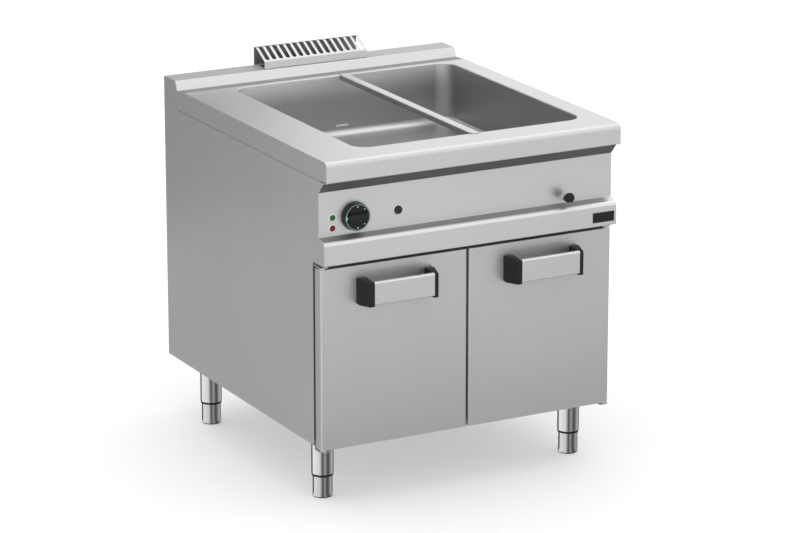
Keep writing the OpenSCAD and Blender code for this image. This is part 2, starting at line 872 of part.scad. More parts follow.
module control_panel() {
    color(steel) in_frame() difference() {
        bent_sheet(front_line, panel_t, 2 * inner_x);
        translate([control_x, face_y - over, control_z]) rod_y(shaft_r + 3, panel_t + 2 * over);
        for (z = [lamp_top_z, lamp_top_z - lamp_gap])
            translate([lamp_x, face_y - over, z]) rod_y(lamp_d / 2 - 1 + slack, panel_t + 2 * over);
        translate([button_x, face_y - over, control_z]) rod_y(button_d / 2 + 1.5 + slack, panel_t + 2 * over);
        translate([tap_x, face_y - over, tap_z]) rod_y(tap_stem_d / 2 + 1, panel_t + 2 * over);
    }
}

module badge_plate() {
    x1 = side_x - badge_right;
    z1 = rail_bottom + (rail_h - rail_r) / 2 + badge_h / 2 - 1;
    color(black) in_frame() translate([x1 - badge_w / 2, rail_y, z1 - badge_h / 2])
        rotate([90, 0, 0]) rounded_block(badge_w, badge_h, badge_t, 1.5);
}

// The knob's skirt turns in front of the panel, with a bar across it as grip
module control_knob() {
    back = face_y - 0.5;
    r = knob_d / 2;
    skirt = rounded_loop([[shaft_r, 0], [r, 0], [r, knob_t * 0.35, 1], [r - 3, knob_t, 2], [shaft_r, knob_t]]);
    bar = rounded_loop([[-r + 5, knob_t - 1], [r - 5, knob_t - 1], [r - 7, knob_t + grip_h, 3],
        [-r + 7, knob_t + grip_h, 3]]);
    color(black) in_frame() translate([control_x, back, control_z]) rotate([90, 0, 0]) {
        difference() {
            rotate_extrude() polygon(skirt);
            translate([-r + 3, -3.2, knob_t - 1.5]) cube([4.2, 6.4, 3]);
        }
        intersection() {
            rotate([90, 0, 0]) translate([0, 0, -grip_w / 2]) linear_extrude(grip_w) polygon(bar);
            cylinder(r = r - 7.5, h = knob_t + grip_h + over);
        }
    }
}

module knob_pointer() {
    back = face_y - 0.5;
    r = knob_d / 2;
    color("#9fd8c0") in_frame() translate([control_x, back, control_z]) rotate([90, 0, 0])
        translate([-r + 3, -3.2, knob_t - 1.5]) cube([4.2, 6.4, 2]);
}

// The shaft runs in the thermostat's bearing and carries the knob
module thermostat_shaft() {
    held = knob_t - 1;
    color(dark_steel) in_frame() translate([control_x, face_y - 0.5 - held, control_z])
        rod_y(shaft_r, held + panel_t + 14);
}

module thermostat_body() {
    low = [control_x - control_w / 2, panel_back, control_z - 22];
    color("tan") in_frame() difference() {
        union() {
            block(low, low + [control_w, control_depth, 44]);
            translate([control_x, face_y - 0.2, control_z]) rod_y(shaft_r + 2.8, panel_t + 0.2);
        }
        translate([control_x, face_y - over, control_z]) rod_y(shaft_r + run, panel_t + 17);
    }
}

// A bulb under the tank, joined by its tube to the thermostat at x, y
module sensing_bulb(x, y, bulb_x) {
    bulb_r = 3;
    bulb_l = 90;
    tube_z = tank_under - bulb_r;
    turn_y = well_front - tank_t - 4;
    bulb_y = well_front + 45;
    rod_run([[x, y, tube_z], [x, turn_y, tube_z], [bulb_x, turn_y, tube_z], [bulb_x, bulb_y, tube_z]], 1, 5);
    translate([bulb_x, bulb_y, tube_z]) rod_y(bulb_r, bulb_l);
}

module sensing_bulbs() {
    color("peru") in_frame() {
        sensing_bulb(control_x, panel_back + control_depth, well_x - well_w / 2 + 26);
        sensing_bulb(button_x, safety_y + safety_depth, bar_x - 22);
    }
}

// A pilot lamp: a domed lens over a body that passes through the panel
module pilot_lamp(z, tint) {
    r = lamp_d / 2;
    color(tint) in_frame() translate([lamp_x, face_y, z]) {
        intersection() {
            translate([0, 3, 0]) sphere(r = r + 1);
            translate([0, -r, 0]) rod_y(r, r);
        }
        rod_y(r - 1, lamp_body_l);
    }
}

module green_lamp() {
    pilot_lamp(lamp_top_z, "green");
}

module red_lamp() {
    pilot_lamp(lamp_top_z - lamp_gap, "firebrick");
}

module reset_button() {
    r = button_d / 2;
    cap = rounded_loop([[0, 0], [r - run, 0], [r - run, button_out + 1, 1.2], [0, button_out + 1]]);
    color(black) in_frame() translate([button_x, face_y + 1, control_z]) {
        rotate([90, 0, 0]) rotate_extrude() polygon(cap);
        rod_y(plunger_d / 2, 6 + panel_t);
    }
}

// The bright ring round the button, with the sleeve that guides it
module button_bezel() {
    r = button_d / 2;
    color(dark_steel) in_frame() translate([button_x, face_y, control_z]) rotate([90, 0, 0]) {
        ring(r + button_rim, r, 2);
        mirror([0, 0, 1]) ring(r + 1.5, r, panel_t);
    }
}

module safety_thermostat() {
    low = [button_x - safety_w / 2, safety_y, control_z - safety_w / 2];
    color("tan") in_frame() difference() {
        union() {
            block(low, low + [safety_w, safety_depth, safety_w]);
            for (s = [-1, 1])
                block([button_x + s * (safety_w / 2 - 2) - 2, panel_back, control_z - 6],
                    [button_x + s * (safety_w / 2 - 2) + 2, low[1] + 1, control_z + 6]);
        }
        translate([button_x, low[1] - over, control_z]) rod_y(plunger_d / 2 + run, 12);
    }
}

// The tap's grip leans up from the end of its stem
module tap_handle() {
    stem_r = tap_stem_d / 2;
    stem_out = 6;
    r = tap_grip_d / 2;
    grip = rounded_loop([[0, -2], [stem_r - 0.5, -2], [stem_r, 3], [r, tap_grip_l - 6, 2],
        [r - 2, tap_grip_l, 2], [0, tap_grip_l + 1]]);
    color(black) in_frame() translate([tap_x, face_y - stem_out, tap_z]) {
        rod_y(stem_r, stem_out + panel_t + 10);
        rotate([90 - tap_lean, 0, 0]) rotate_extrude() polygon(grip);
    }
}

module fill_valve() {
    stem_r = tap_stem_d / 2;
    color("goldenrod") in_frame() difference() {
        union() {
            translate([tap_x, valve_y, tap_z]) rod_y(valve_d / 2, valve_l);
            translate([tap_x, panel_back, tap_z]) rod_y(stem_r + 3, 3);
            translate([tap_x, pipe_y, tap_z]) cylinder(r = pipe_r + 2, h = valve_d / 2 + 6);
            translate([tap_x, pipe_y, tap_z]) rotate([0, 90, 0]) cylinder(r = pipe_r + 2, h = valve_d / 2 + 6);
        }
        translate([tap_x, face_y - over, tap_z]) rod_y(stem_r + run, panel_t + 11.5);
        translate([tap_x, pipe_y, tap_z + valve_d / 2]) cylinder(r = pipe_r, h = 6 + over);
        translate([tap_x + valve_d / 2, pipe_y, tap_z]) rotate([0, 90, 0]) cylinder(r = pipe_r, h = 6 + over);
    }
}

// One pipe fills the well, the other brings water up from the inlet
module water_pipes() {
    fill_z = tank_top - spout_drop;
    supply_y = body_d - supply_rear;
    color("peru") in_frame() {
        pipe_run([[tap_x, pipe_y, tap_z + valve_d / 2], [tap_x, pipe_y, fill_z],
            [tap_x, well_front + 12, fill_z]], pipe_r, pipe_wall, pipe_bend);
        pipe_run([[tap_x + valve_d / 2, pipe_y, tap_z], [supply_x, pipe_y, tap_z],
            [supply_x, supply_y, tap_z], [supply_x, supply_y, tray_top + inlet_nut_h]], pipe_r, pipe_wall, pipe_bend);
        translate([supply_x, supply_y, 0]) difference() {
            union() {
                translate([0, 0, tray_z - inlet_drop]) cylinder(r = inlet_d / 2, h = inlet_drop + panel_t);
                translate([0, 0, tray_z - collar_h]) cylinder(r = inlet_d / 2 + collar_w, h = collar_h);
                translate([0, 0, tray_top]) cylinder(r = inlet_d / 2 + collar_w, h = inlet_nut_h, $fn = 6);
            }
            translate([0, 0, tray_z - inlet_drop - over])
                cylinder(r = pipe_r - pipe_wall, h = inlet_drop + panel_t + inlet_nut_h + 2 * over);
        }
    }
}

module drain_fitting() {
    low = ceiling_z - 14;
    color(dark_steel) in_frame() translate([drain_x, drain_y, 0]) {
        difference() {
            union() {
                translate([0, 0, well_floor]) cylinder(r = drain_flange_r, h = drain_flange_t);
                translate([0, 0, tank_under - drain_nut_h]) cylinder(r = drain_body_r, h = drain_nut_h + tank_t + over);
                translate([0, 0, tank_under - drain_nut_h]) cylinder(r = drain_body_r + 6, h = drain_nut_h, $fn = 6);
                translate([0, 0, socket_z - 6]) cylinder(r = drain_r + 2, h = well_floor - socket_z);
                translate([0, 0, low]) cylinder(r = drain_r, h = socket_z - low);
            }
            translate([0, 0, socket_z]) cylinder(r = overflow_r + run, h = well_floor - socket_z + 2 * drain_flange_t);
            translate([0, 0, low - over]) cylinder(r = overflow_r - 3, h = well_floor - low);
        }
    }
}

// Water above the pipe's rim runs off; lifting the pipe out empties the well
module overflow_pipe() {
    low = socket_z + play;
    wall = 2;
    color(steel) in_frame() translate([drain_x, drain_y, low])
        ring(overflow_r, overflow_r - wall, overflow_top - low);
}

module drain_pipes() {
    color("dimgray") in_frame() {
        pipe_run([[drain_x, drain_y, ceiling_z - 14], [drain_x, drain_y, ball_top]], drain_r, drain_wall, 1);
        pipe_run([[drain_x, drain_y, ball_top - ball_h], [drain_x, drain_y, drain_low_z],
            [drain_x, outlet_y, drain_low_z], [drain_x, outlet_y, tray_z - collar_h]], drain_r, drain_wall, drain_bend);
        translate([drain_x, outlet_y, tray_z - outlet_l]) ring(outlet_d / 2, drain_r - drain_wall, outlet_l);
        translate([drain_x, outlet_y, tray_z - collar_h])
            ring(outlet_d / 2 + collar_w, drain_r - drain_wall, collar_h);
    }
}

module drain_valve() {
    color("goldenrod") in_frame() translate([drain_x, drain_y, 0]) difference() {
        union() {
            translate([0, 0, ball_mid]) sphere(r = ball_r);
            for (z = [ball_top - 16, ball_top - ball_h])
                translate([0, 0, z]) cylinder(r = ball_r - 4, h = 16, $fn = 8);
            translate([0, -ball_r - 10, ball_mid]) rod_y(stem_r + 4, 20);
        }
        translate([0, 0, ball_top - ball_h - over]) cylinder(r = drain_r - 4, h = ball_h + 2 * over);
        translate([0, -ball_r - 10 - over, ball_mid]) rod_y(stem_r + run, 12);
    }
}

// The lever lies across the pipe when the drain is shut
module drain_lever() {
    color("crimson") in_frame() translate([drain_x, lever_y, ball_mid]) {
        rod_y(stem_r, lever_t + 11.5);
        rod_y(lever_hub_r, lever_t);
        block([0, 0, -lever_w / 2], [lever_l, lever_t, lever_w / 2]);
        translate([lever_l - lever_grip_l + 5, -3, -lever_w / 2 - 2])
            cube([lever_grip_l, lever_t + 6, lever_w + 4]);
    }
}

// Each element is one tube that runs forth and back under the tank
module heating_elements() {
    y0 = clamp_ys[0] - clamp_w / 2 - element_start;
    y1 = clamp_ys[2] + element_end;
    span = (element_runs - 1) * element_pitch;
    color("dimgray") in_frame() for (x = element_spots) {
        for (k = [0:element_runs - 1])
            translate([x - span / 2 + k * element_pitch, y0, element_z]) rod_y(element_r, y1 - y0);
        for (k = [0:element_runs - 2])
            translate([x - span / 2 + (k + 0.5) * element_pitch, k % 2 == 0 ? y1 : y0, element_z])
                rotate([0, 0, k % 2 == 0 ? 0 : 180]) rotate_extrude(angle = 180)
                    translate([element_pitch / 2, 0]) circle(element_r);
        for (k = [0, element_runs - 1])
            translate([x - span / 2 + k * element_pitch, y0 - cold_end_l, element_z]) rod_y(cold_end_r, cold_end_l);
    }
}

module heater_clamps() {
    color(dark_steel) in_frame() difference() {
        for (x = element_spots, y = clamp_ys)
            block([x - clamp_half, y - clamp_w / 2, clamp_z], [x + clamp_half, y + clamp_w / 2, clamp_z + clamp_t]);
        for (p = stud_spots())
            translate([p[0], p[1], clamp_z - over]) cylinder(r = stud_r, h = clamp_t + 2 * over);
    }
}

// The tray under the heating carries the insulating board
module heater_tray() {
    x0 = well_x - well_w / 2 + tray_edge;
    x1 = well_x + well_w / 2 - tray_edge;
    y0 = well_front + tray_edge;
    y1 = well_front + well_l - tray_edge;
    top = heater_tray_z + tray_lip;
    color(dark_steel) in_frame() difference() {
        block([x0, y0, heater_tray_z], [x1, y1, top]);
        block([x0 + panel_t, y0 + panel_t, heater_tray_z + panel_t], [x1 - panel_t, y1 - panel_t, top + over]);
        for (p = stud_spots())
            translate([p[0], p[1], heater_tray_z - over]) cylinder(r = stud_r, h = 3 * panel_t);
        translate([drain_x, drain_y, heater_tray_z - over]) cylinder(r = drain_r + 3, h = 3 * panel_t);
    }
}

// A wrap round the tank's walls and a board under the heating elements
module insulation() {
    grow = tank_t + insulation_t;
    low = well_floor + 2;
    high = tank_top - spout_drop - pipe_r - 3;
    board_z = heater_tray_z + panel_t;
    in = tray_edge + 2 * panel_t;
    color("khaki") in_frame() {
        difference() {
            well_prism(grow, low, high);
            well_prism(tank_t, low - over, high + over);
        }
        difference() {
            block([well_x - well_w / 2 + in, well_front + in, board_z],
                [well_x + well_w / 2 - in, well_front + well_l - in, board_z + board_h]);
            for (p = stud_spots())
                translate([p[0], p[1], board_z - over]) cylinder(r = stud_r, h = board_h + 2 * over);
            translate([drain_x, drain_y, board_z - over]) cylinder(r = drain_body_r + 8, h = board_h + 2 * over);
        }
    }
}

module terminal_box() {
    color("gray") in_frame() translate([box_x, box_y, tray_top]) difference() {
        block([-box_w / 2, -box_l / 2, 0], [box_w / 2, box_l / 2, box_h]);
        block([-box_w / 2 + box_t, -box_l / 2 + box_t, box_t],
            [box_w / 2 - box_t, box_l / 2 - box_t, box_h - box_t]);
        translate([0, 0, -over]) cylinder(r = gland_r + slack, h = box_t + 2 * over);
        translate([loom_x - box_x, 0, box_h - box_t - over])
            cylinder(r = loom_d / 2 + slack, h = box_t + 2 * over);
    }
}

module cable_gland() {
    top = tray_top + box_t;
    color(black) in_frame() translate([box_x, box_y, 0]) difference() {
        union() {
            translate([0, 0, tray_z - gland_l]) cylinder(r = gland_r + 1, h = gland_l - 8);
            translate([0, 0, tray_z - 8]) cylinder(r = gland_hex_r, h = 8, $fn = 6);
            translate([0, 0, tray_z - over]) cylinder(r = gland_r, h = over + 2 * panel_t + box_t + gland_nut_h);
            translate([0, 0, top]) cylinder(r = gland_hex_r, h = gland_nut_h, $fn = 6);
        }
        translate([0, 0, tray_z - gland_l - over]) cylinder(r = gland_bore / 2, h = gland_l + 20);
    }
}

// The loom climbs from the terminal box and runs forward to the thermostat
module wiring_loom() {
    loom_z = control_z + 12;
    loom_y = panel_back + control_depth / 2;
    color("black") in_frame()
        rod_run([[loom_x, box_y, tray_top + box_h - box_t], [loom_x, box_y, loom_z],
            [loom_x, loom_y, loom_z], [control_x - control_w / 2, loom_y, loom_z]],
            loom_d / 2, min(loom_bend, control_x - control_w / 2 - loom_x - 1));
}

// One door's outer sheet: a front with four returned edges, open at the back
module door_skin() {
    w = door_w;
    low = -w / 2;
    outer = rounded_loop([[low, door_t], [low, 0, door_r], [-low, 0, door_r], [-low, door_t]]);
    inner = rounded_loop([[low + door_sheet, door_t + over], [low + door_sheet, door_sheet, door_r - door_sheet],
        [-low - door_sheet, door_sheet, door_r - door_sheet], [-low - door_sheet, door_t + over]]);
    difference() {
        translate([door_x, door_y, door_bottom]) linear_extrude(door_top - door_bottom) polygon(outer);
        translate([door_x, door_y, door_bottom + door_sheet])
            linear_extrude(door_top - door_bottom - 2 * door_sheet) polygon(inner);
        translate([hinge_x, hinge_y, door_bottom - over])
            cylinder(r = bush_r + slack, h = door_top - door_bottom + 2 * over);
    }
}

module door_liner() {
    block([door_x - door_w / 2 + door_sheet, door_back - door_sheet, door_bottom + door_sheet],
        [door_x + door_w / 2 - door_sheet, door_back, door_top - door_sheet]);
    strike_w = 36;
    block([door_gap / 2 + 14, door_back, rail_bottom - 36], [door_gap / 2 + 14 + strike_w, door_back + 1.2,
        rail_bottom - 20]);
}

module handle_bar() {
    y1 = handle_y + handle_t;
    z0 = handle_z - handle_h / 2;
    z1 = handle_z + handle_h / 2;
    translate([door_x, 0, 0]) across(handle_l)
        polygon(rounded_loop([[handle_y, z0, 1.5], [handle_y, z1, handle_r], [y1, z1, 1], [y1, z0, 1]]));
}

// An end cap: its plan tapers to the front, and its top slopes down to the bar
module handle_cap(s) {
    start = handle_l / 2;
    plan = rounded_loop([[start, door_y], [start, handle_y], [start + cap_front_w - cap_bevel, handle_y, 1],
        [start + cap_front_w, handle_y + cap_bevel * 1.6, 2], [start + cap_w, door_y]]);
    z0 = cap_z - cap_h / 2;
    z1 = cap_z + cap_h / 2;
    side = rounded_loop([[door_y, z0, 0], [handle_y, z0 + 3, 3], [handle_y, z1 - cap_slope, 3],
        [door_y - 14, z1, 6], [door_y, z1]]);
    translate([door_x, 0, 0]) mirror([s < 0 ? 1 : 0, 0, 0]) intersection() {
        translate([0, 0, z0 - over]) linear_extrude(cap_h + 2 * over) polygon(plan);
        across(2 * (start + cap_w + over)) polygon(side);
    }
}

module handle_caps() {
    handle_cap(-1);
    handle_cap(1);
}

// Collared bushes in the door's top and bottom edges
module hinge_bushes() {
    for (s = [0, 1])
        translate([hinge_x, hinge_y, s == 0 ? door_bottom : door_top]) mirror([0, 0, s]) {
            ring(bush_r, pin_r + run, bush_l);
            translate([0, 0, -bush_collar]) ring(bush_r + 2, pin_r + run, bush_collar);
        }
}

// Turns a right-hand door piece into the left-hand one
module left_hand() {
    mirror([1, 0, 0]) children();
}

module right_door_skin() {
    color(steel) in_frame() door_skin();
}

module right_door_liner() {
    color(dark_steel) in_frame() door_liner();
}

module right_handle_bar() {
    color(aluminium) in_frame() handle_bar();
}

module right_handle_caps() {
    color(black) in_frame() handle_caps();
}

module right_hinge_bushes() {
    color("white") in_frame() hinge_bushes();
}

module left_door_skin() {
    color(steel) in_frame() left_hand() door_skin();
}

module left_door_liner() {
    color(dark_steel) in_frame() left_hand() door_liner();
}

module left_handle_bar() {
    color(aluminium) in_frame() left_hand() handle_bar();
}

module left_handle_caps() {
    color(black) in_frame() left_hand() handle_caps();
}

module left_hinge_bushes() {
    color("white") in_frame() left_hand() hinge_bushes();
}

// Angle brackets on the side panels' front edges hold the pins
module hinge_brackets() {
    color(dark_steel) in_frame() for (s = [0, 1]) mirror([s, 0, 0]) {
        difference() {
            union() {
                block([hinge_x - bracket_w / 2, hinge_y - 8, bracket_top_z],
                    [hinge_x + 9, post_y, bracket_top_z + bracket_t]);
                block([hinge_x - bracket_w / 2, post_y - bracket_leg_t, bracket_top_z],
                    [hinge_x + 9, post_y, rail_bottom]);
                block([hinge_x - bracket_w / 2, hinge_y - 8, bracket_low_z],
                    [hinge_x + 9, post_y, bracket_low_z + bracket_t]);
                block([hinge_x - bracket_w / 2, post_y - bracket_leg_t, bracket_low_z],
                    [hinge_x + 9, post_y, leg_h + bracket_foot_h]);
            }
            for (z = [bracket_top_z, bracket_low_z])
                translate([hinge_x, hinge_y, z - over]) cylinder(r = pin_r, h = bracket_t + 2 * over);
        }
    }
}

module hinge_pins() {
    reach = bush_collar + play + bush_l - 1;
    color(dark_steel) in_frame() for (s = [0, 1]) mirror([s, 0, 0]) {
        translate([hinge_x, hinge_y, bracket_top_z - reach]) cylinder(r = pin_r, h = reach + bracket_t);
        translate([hinge_x, hinge_y, bracket_low_z]) cylinder(r = pin_r, h = reach + bracket_t);
    }
}

// Two magnets on the front rail meet the doors' strike plates
module magnet_catches() {
    color(black) in_frame() for (s = [0, 1]) mirror([s, 0, 0])
        block([door_gap / 2 + 12, door_back + 1.2 + play, rail_bottom - 38],
            [door_gap / 2 + 52, frame_y, rail_bottom - 18]);
}

module leg_sleeves() {
    outline = rounded_loop([[foot_r + run, foot_h], [leg_r - 1.5, foot_h], [leg_r, foot_h + 1.5],
        [leg_r, tray_z], [0, tray_z], [0, tray_z - leg_cap_t], [foot_r + run, tray_z - leg_cap_t]]);
    color(steel) in_frame() for (p = leg_spots) translate([p[0], p[1], 0]) {
        rotate_extrude() polygon(outline);
        translate([0, 0, tray_z - over]) cylinder(r = stud_r, h = over + panel_t + nut_h + stud_end);
    }
}

// A foot slides in its sleeve to level the cabinet
module foot(k) {
    wall = 4;
    outline = rounded_loop([[0, 0], [foot_r, 0, 3], [foot_r, foot_top], [foot_r - wall, foot_top],
        [foot_r - wall, wall], [0, wall]]);
    color(dark_steel) in_frame() translate([leg_spots[k][0], leg_spots[k][1], 0])
        rotate_extrude() polygon(outline);
}

module foot_front_left() {
    foot(0);
}

module foot_front_right() {
    foot(1);
}

module foot_rear_left() {
    foot(2);
}

module foot_rear_right() {
    foot(3);
}

// A low-headed screw whose head's underside is at z = 0
module screw() {
    cylinder(r = screw_head_r, h = screw_head_h);
    translate([0, 0, -screw_l]) cylinder(r = screw_r, h = screw_l);
}

module screws() {
    color(dark_steel) in_frame() {
        for (s = [-1, 1], k = [0:rear_screw_n - 1])
            translate([s * rear_screw_x, body_d, rear_screw_z0 + k * rear_screw_step])
                rotate([-90, 0, 0]) screw();
        for (x = flue_screw_xs)
            translate([x, flue_screw_y, upstand_z + flue_t]) screw();
    }
}

// The weld studs under the tank, their nuts above and below the tray, and the legs' nuts
module studs_and_nuts() {
    low = heater_tray_z - nut_h - stud_end;
    color(dark_steel) in_frame() {
        for (p = stud_spots()) translate([p[0], p[1], 0]) {
            translate([0, 0, low]) cylinder(r = stud_r, h = tank_under - low);
            for (z = [clamp_z - nut_h, heater_tray_z - nut_h])
                translate([0, 0, z]) hex_ring(nut_r, stud_r + slack, nut_h);
        }
        for (p = leg_spots)
            translate([p[0], p[1], tray_top]) hex_ring(nut_r, stud_r + slack, nut_h);
    }
}

worktop();
well_walls();
well_floor_pan();
support_bar();
splashback();
flue_grille();
vent_duct();
left_side_panel();
right_side_panel();
rear_panel();
base_tray();
cabinet_ceiling();
front_frame();
control_panel();
badge_plate();
control_knob();
knob_pointer();
thermostat_shaft();
thermostat_body();
sensing_bulbs();
green_lamp();
red_lamp();
reset_button();
button_bezel();
safety_thermostat();
tap_handle();
fill_valve();
water_pipes();
drain_fitting();
overflow_pipe();
drain_pipes();
drain_valve();
drain_lever();
heating_elements();
heater_clamps();
heater_tray();
insulation();
terminal_box();
cable_gland();
wiring_loom();
left_door_skin();
left_door_liner();
left_handle_bar();
left_handle_caps();
left_hinge_bushes();
right_door_skin();
right_door_liner();
right_handle_bar();
right_handle_caps();
right_hinge_bushes();
hinge_brackets();
hinge_pins();
magnet_catches();
leg_sleeves();
foot_front_left();
foot_front_right();
foot_rear_left();
foot_rear_right();
screws();
studs_and_nuts();
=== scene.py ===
# %% [markdown]
# # A heated water well on a cupboard
# The object is a catering bain-marie: a worktop with a deep tub let into it,
# over a cupboard with two doors, on four round legs. Nearly all of it is thin
# stainless sheet, cut flat and folded, so this lesson folds sheets too. The
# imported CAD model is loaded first. It is the fixed frame: each new piece goes
# where its CAD node is, and rides on the same moving body.

# %% Load the frame
import json
from math import atan2, cos, hypot, pi, radians, sin, tan

import bmesh
import bpy
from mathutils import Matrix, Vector

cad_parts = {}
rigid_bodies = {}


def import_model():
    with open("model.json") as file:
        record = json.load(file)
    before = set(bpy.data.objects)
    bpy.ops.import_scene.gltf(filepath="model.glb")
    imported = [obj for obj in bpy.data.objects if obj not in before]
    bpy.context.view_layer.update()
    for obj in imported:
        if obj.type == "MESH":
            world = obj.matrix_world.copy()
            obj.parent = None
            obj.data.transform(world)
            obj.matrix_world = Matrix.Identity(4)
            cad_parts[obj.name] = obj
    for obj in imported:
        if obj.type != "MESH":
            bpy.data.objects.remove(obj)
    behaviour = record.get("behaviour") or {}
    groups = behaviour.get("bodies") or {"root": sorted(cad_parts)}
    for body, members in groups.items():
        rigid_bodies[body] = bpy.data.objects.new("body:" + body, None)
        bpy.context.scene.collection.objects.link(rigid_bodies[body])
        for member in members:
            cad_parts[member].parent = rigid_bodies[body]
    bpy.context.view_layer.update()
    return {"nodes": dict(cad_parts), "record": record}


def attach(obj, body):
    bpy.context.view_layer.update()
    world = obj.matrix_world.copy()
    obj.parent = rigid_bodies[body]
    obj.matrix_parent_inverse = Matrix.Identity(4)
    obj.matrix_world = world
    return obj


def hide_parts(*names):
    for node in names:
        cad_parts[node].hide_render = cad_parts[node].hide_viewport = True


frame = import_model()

# %% [markdown]
# ## A bench to measure on
# A sheet metal worker measures from the front edge of the worktop and up from
# the floor, in millimetres. Blender's frame is in metres from the middle of the
# footprint. Two small functions translate, so every number below can be
# checked with a rule on the real object.

# %% Bench millimetres to the frame's metres
nose_to_middle = 443.2


def at(x, y, z):
    """A point on the bench, in millimetres, as a place in the frame."""
    return Vector((x, y - nose_to_middle, z)) / 1000


def bench(place):
    """A place in the frame as bench millimetres."""
    return Vector((place[0] * 1000, place[1] * 1000 + nose_to_middle, place[2] * 1000))


print("the worktop's nose is at y =", round(at(0, 0, 0).y, 4), "m")

# %% [markdown]
# ## Picking up a piece
# An operator acts on everything that is selected, and the loaded nodes are all
# selected. So each step first lets go of everything and takes up one piece.
# Edges and faces are then chosen by where they lie, as a hand would point.

# %% Take up one piece, or some of its edges or faces
def let_go():
    """Leaves edit mode and deselects everything."""
    if bpy.context.mode != "OBJECT":
        bpy.ops.object.mode_set(mode="OBJECT")
    bpy.ops.object.select_all(action="DESELECT")


def hold(piece, kind=None, action="DESELECT"):
    """Selects this piece alone; a kind, VERT, EDGE or FACE, starts edit mode with none or all selected."""
    let_go()
    piece.hide_set(False)
    piece.select_set(True)
    bpy.context.view_layer.objects.active = piece
    if kind:
        bpy.ops.object.mode_set(mode="EDIT")
        bpy.ops.mesh.select_mode(type=kind)
        bpy.ops.mesh.select_all(action=action)


def choose(piece, found):
    """Selects the edges or faces that were found, and counts them."""
    for part in found:
        part.select_set(True)
    bmesh.update_edit_mesh(piece.data)
    return len(found)


def edges_where(piece, test):
    """Goes into edit mode with the edges selected whose two ends pass the test."""
    hold(piece, "EDGE")
    mesh = bmesh.from_edit_mesh(piece.data)
    return choose(piece, [e for e in mesh.edges if test(*[bench(v.co) for v in e.verts])])


def faces_where(piece, test):
    """Goes into edit mode with the faces selected whose middle and normal pass the test."""
    hold(piece, "FACE")
    mesh = bmesh.from_edit_mesh(piece.data)
    return choose(piece, [f for f in mesh.faces if test(bench(f.calc_center_median()), f.normal)])


# %% Tests that come back all the time
def near(a, b, within=0.05):
    """True where two lengths are the same to a twentieth of a millimetre."""
    return abs(a - b) < within


def both(**places):
    """Passes an edge whose two ends lie at these x, y or z places."""
    return lambda a, b: all(near(getattr(end, axis), place) for end in (a, b) for axis, place in places.items())


def runs(axis):
    """Passes an edge that runs along this axis."""
    return lambda a, b: all(near(getattr(a, other), getattr(b, other)) for other in "xyz" if other != axis)


def facing(axis, way):
    """Passes a face that looks along an axis, in the way 1 or -1."""
    return lambda middle, normal: getattr(normal, axis) * way > 0.9


# %% Moves in millimetres, in edit mode
def pull(x, y, z):
    """Extrudes what is selected."""
    bpy.ops.mesh.extrude_region_move(TRANSFORM_OT_translate={"value": (x / 1000, y / 1000, z / 1000)})


def shift(x, y, z):
    """Moves what is selected."""
    bpy.ops.transform.translate(value=(x / 1000, y / 1000, z / 1000))


def scale_by(x, y, z, middle):
    """Scales what is selected about a point on the bench."""
    bpy.ops.transform.resize(value=(x, y, z), center_override=at(*middle))


def slice_at(place, way, **settings):
    """Cuts new edges into the whole mesh, where a plane goes through it."""
    bpy.ops.mesh.select_all(action="SELECT")
    bpy.ops.mesh.bisect(plane_co=at(*place), plane_no=way, **settings)


def take_off(piece, test):
    """Deletes the faces that pass the test, and stays in edit mode."""
    faces_where(piece, test)
    bpy.ops.mesh.delete(type="FACE")


# %% [markdown]
# ## Blanks
# A blank is the raw stock that a piece is shaped from: a block cut to size, a
# length of round bar, or a flat strip. Each primitive gets its size and place,
# and both are applied at once, so the object itself stays at the origin.

# %% Blocks and round bar
def stock(name, primitive, scale=(1, 1, 1), **settings):
    """Adds a primitive, names it and puts its size and place into its mesh."""
    let_go()
    primitive(**settings)
    piece = bpy.context.active_object
    piece.scale = scale
    piece.name = piece.data.name = name
    bpy.ops.object.transform_apply()
    return piece


def block(name, corner, other):
    """A block between two opposite corners on the bench."""
    corner, other = at(*corner), at(*other)
    return stock(name, bpy.ops.mesh.primitive_cube_add, [abs(v) for v in other - corner], size=1,
        location=(corner + other) / 2)


def bar(name, r, start, end, sides=48):
    """Round bar of radius r from one point on the bench to another."""
    start, end = at(*start), at(*end)
    way = end - start
    return stock(name, bpy.ops.mesh.primitive_cylinder_add, vertices=sides, radius=r / 1000, depth=way.length,
        location=(start + end) / 2, rotation=way.to_track_quat("Z", "Y").to_euler())


def pin(name, r, x, z, start, end, sides=48):
    """Round bar from one y to another."""
    return bar(name, r, (x, start, z), (x, end, z), sides)


def copy_of(piece, x, y):
    """A copy with its own mesh, moved by x and y millimetres."""
    hold(piece)
    bpy.ops.object.duplicate()
    shift(x, y, 0)
    bpy.ops.object.transform_apply()
    return bpy.context.active_object


# %% [markdown]
# ## Cutting and finishing
# Holes are cut with a boolean, as with a punch. No real edge is knife sharp, so
# every piece ends with a small bevel on its corners, which catches the light.
# Weighted normals then keep the big flats flat next to those narrow bevels.

# %% Modifiers that are applied at once
def apply(piece, kind, **settings):
    """Adds a modifier, sets it and applies it."""
    hold(piece)
    step = piece.modifiers.new(kind.lower(), kind)
    for key, value in settings.items():
        setattr(step, key, value)
    bpy.ops.object.modifier_apply(modifier=step.name)


def cut(piece, punch):
    """Cuts one piece's shape out of another and puts the punch away."""
    apply(piece, "BOOLEAN", operation="DIFFERENCE", object=punch, solver="EXACT")
    bpy.data.objects.remove(punch)


def thicken(piece, thick, offset=-1):
    """Gives a sheet its thickness: on the inner side, or with offset 1 on the outer side."""
    apply(piece, "SOLIDIFY", thickness=thick / 1000, offset=offset, use_even_offset=True)


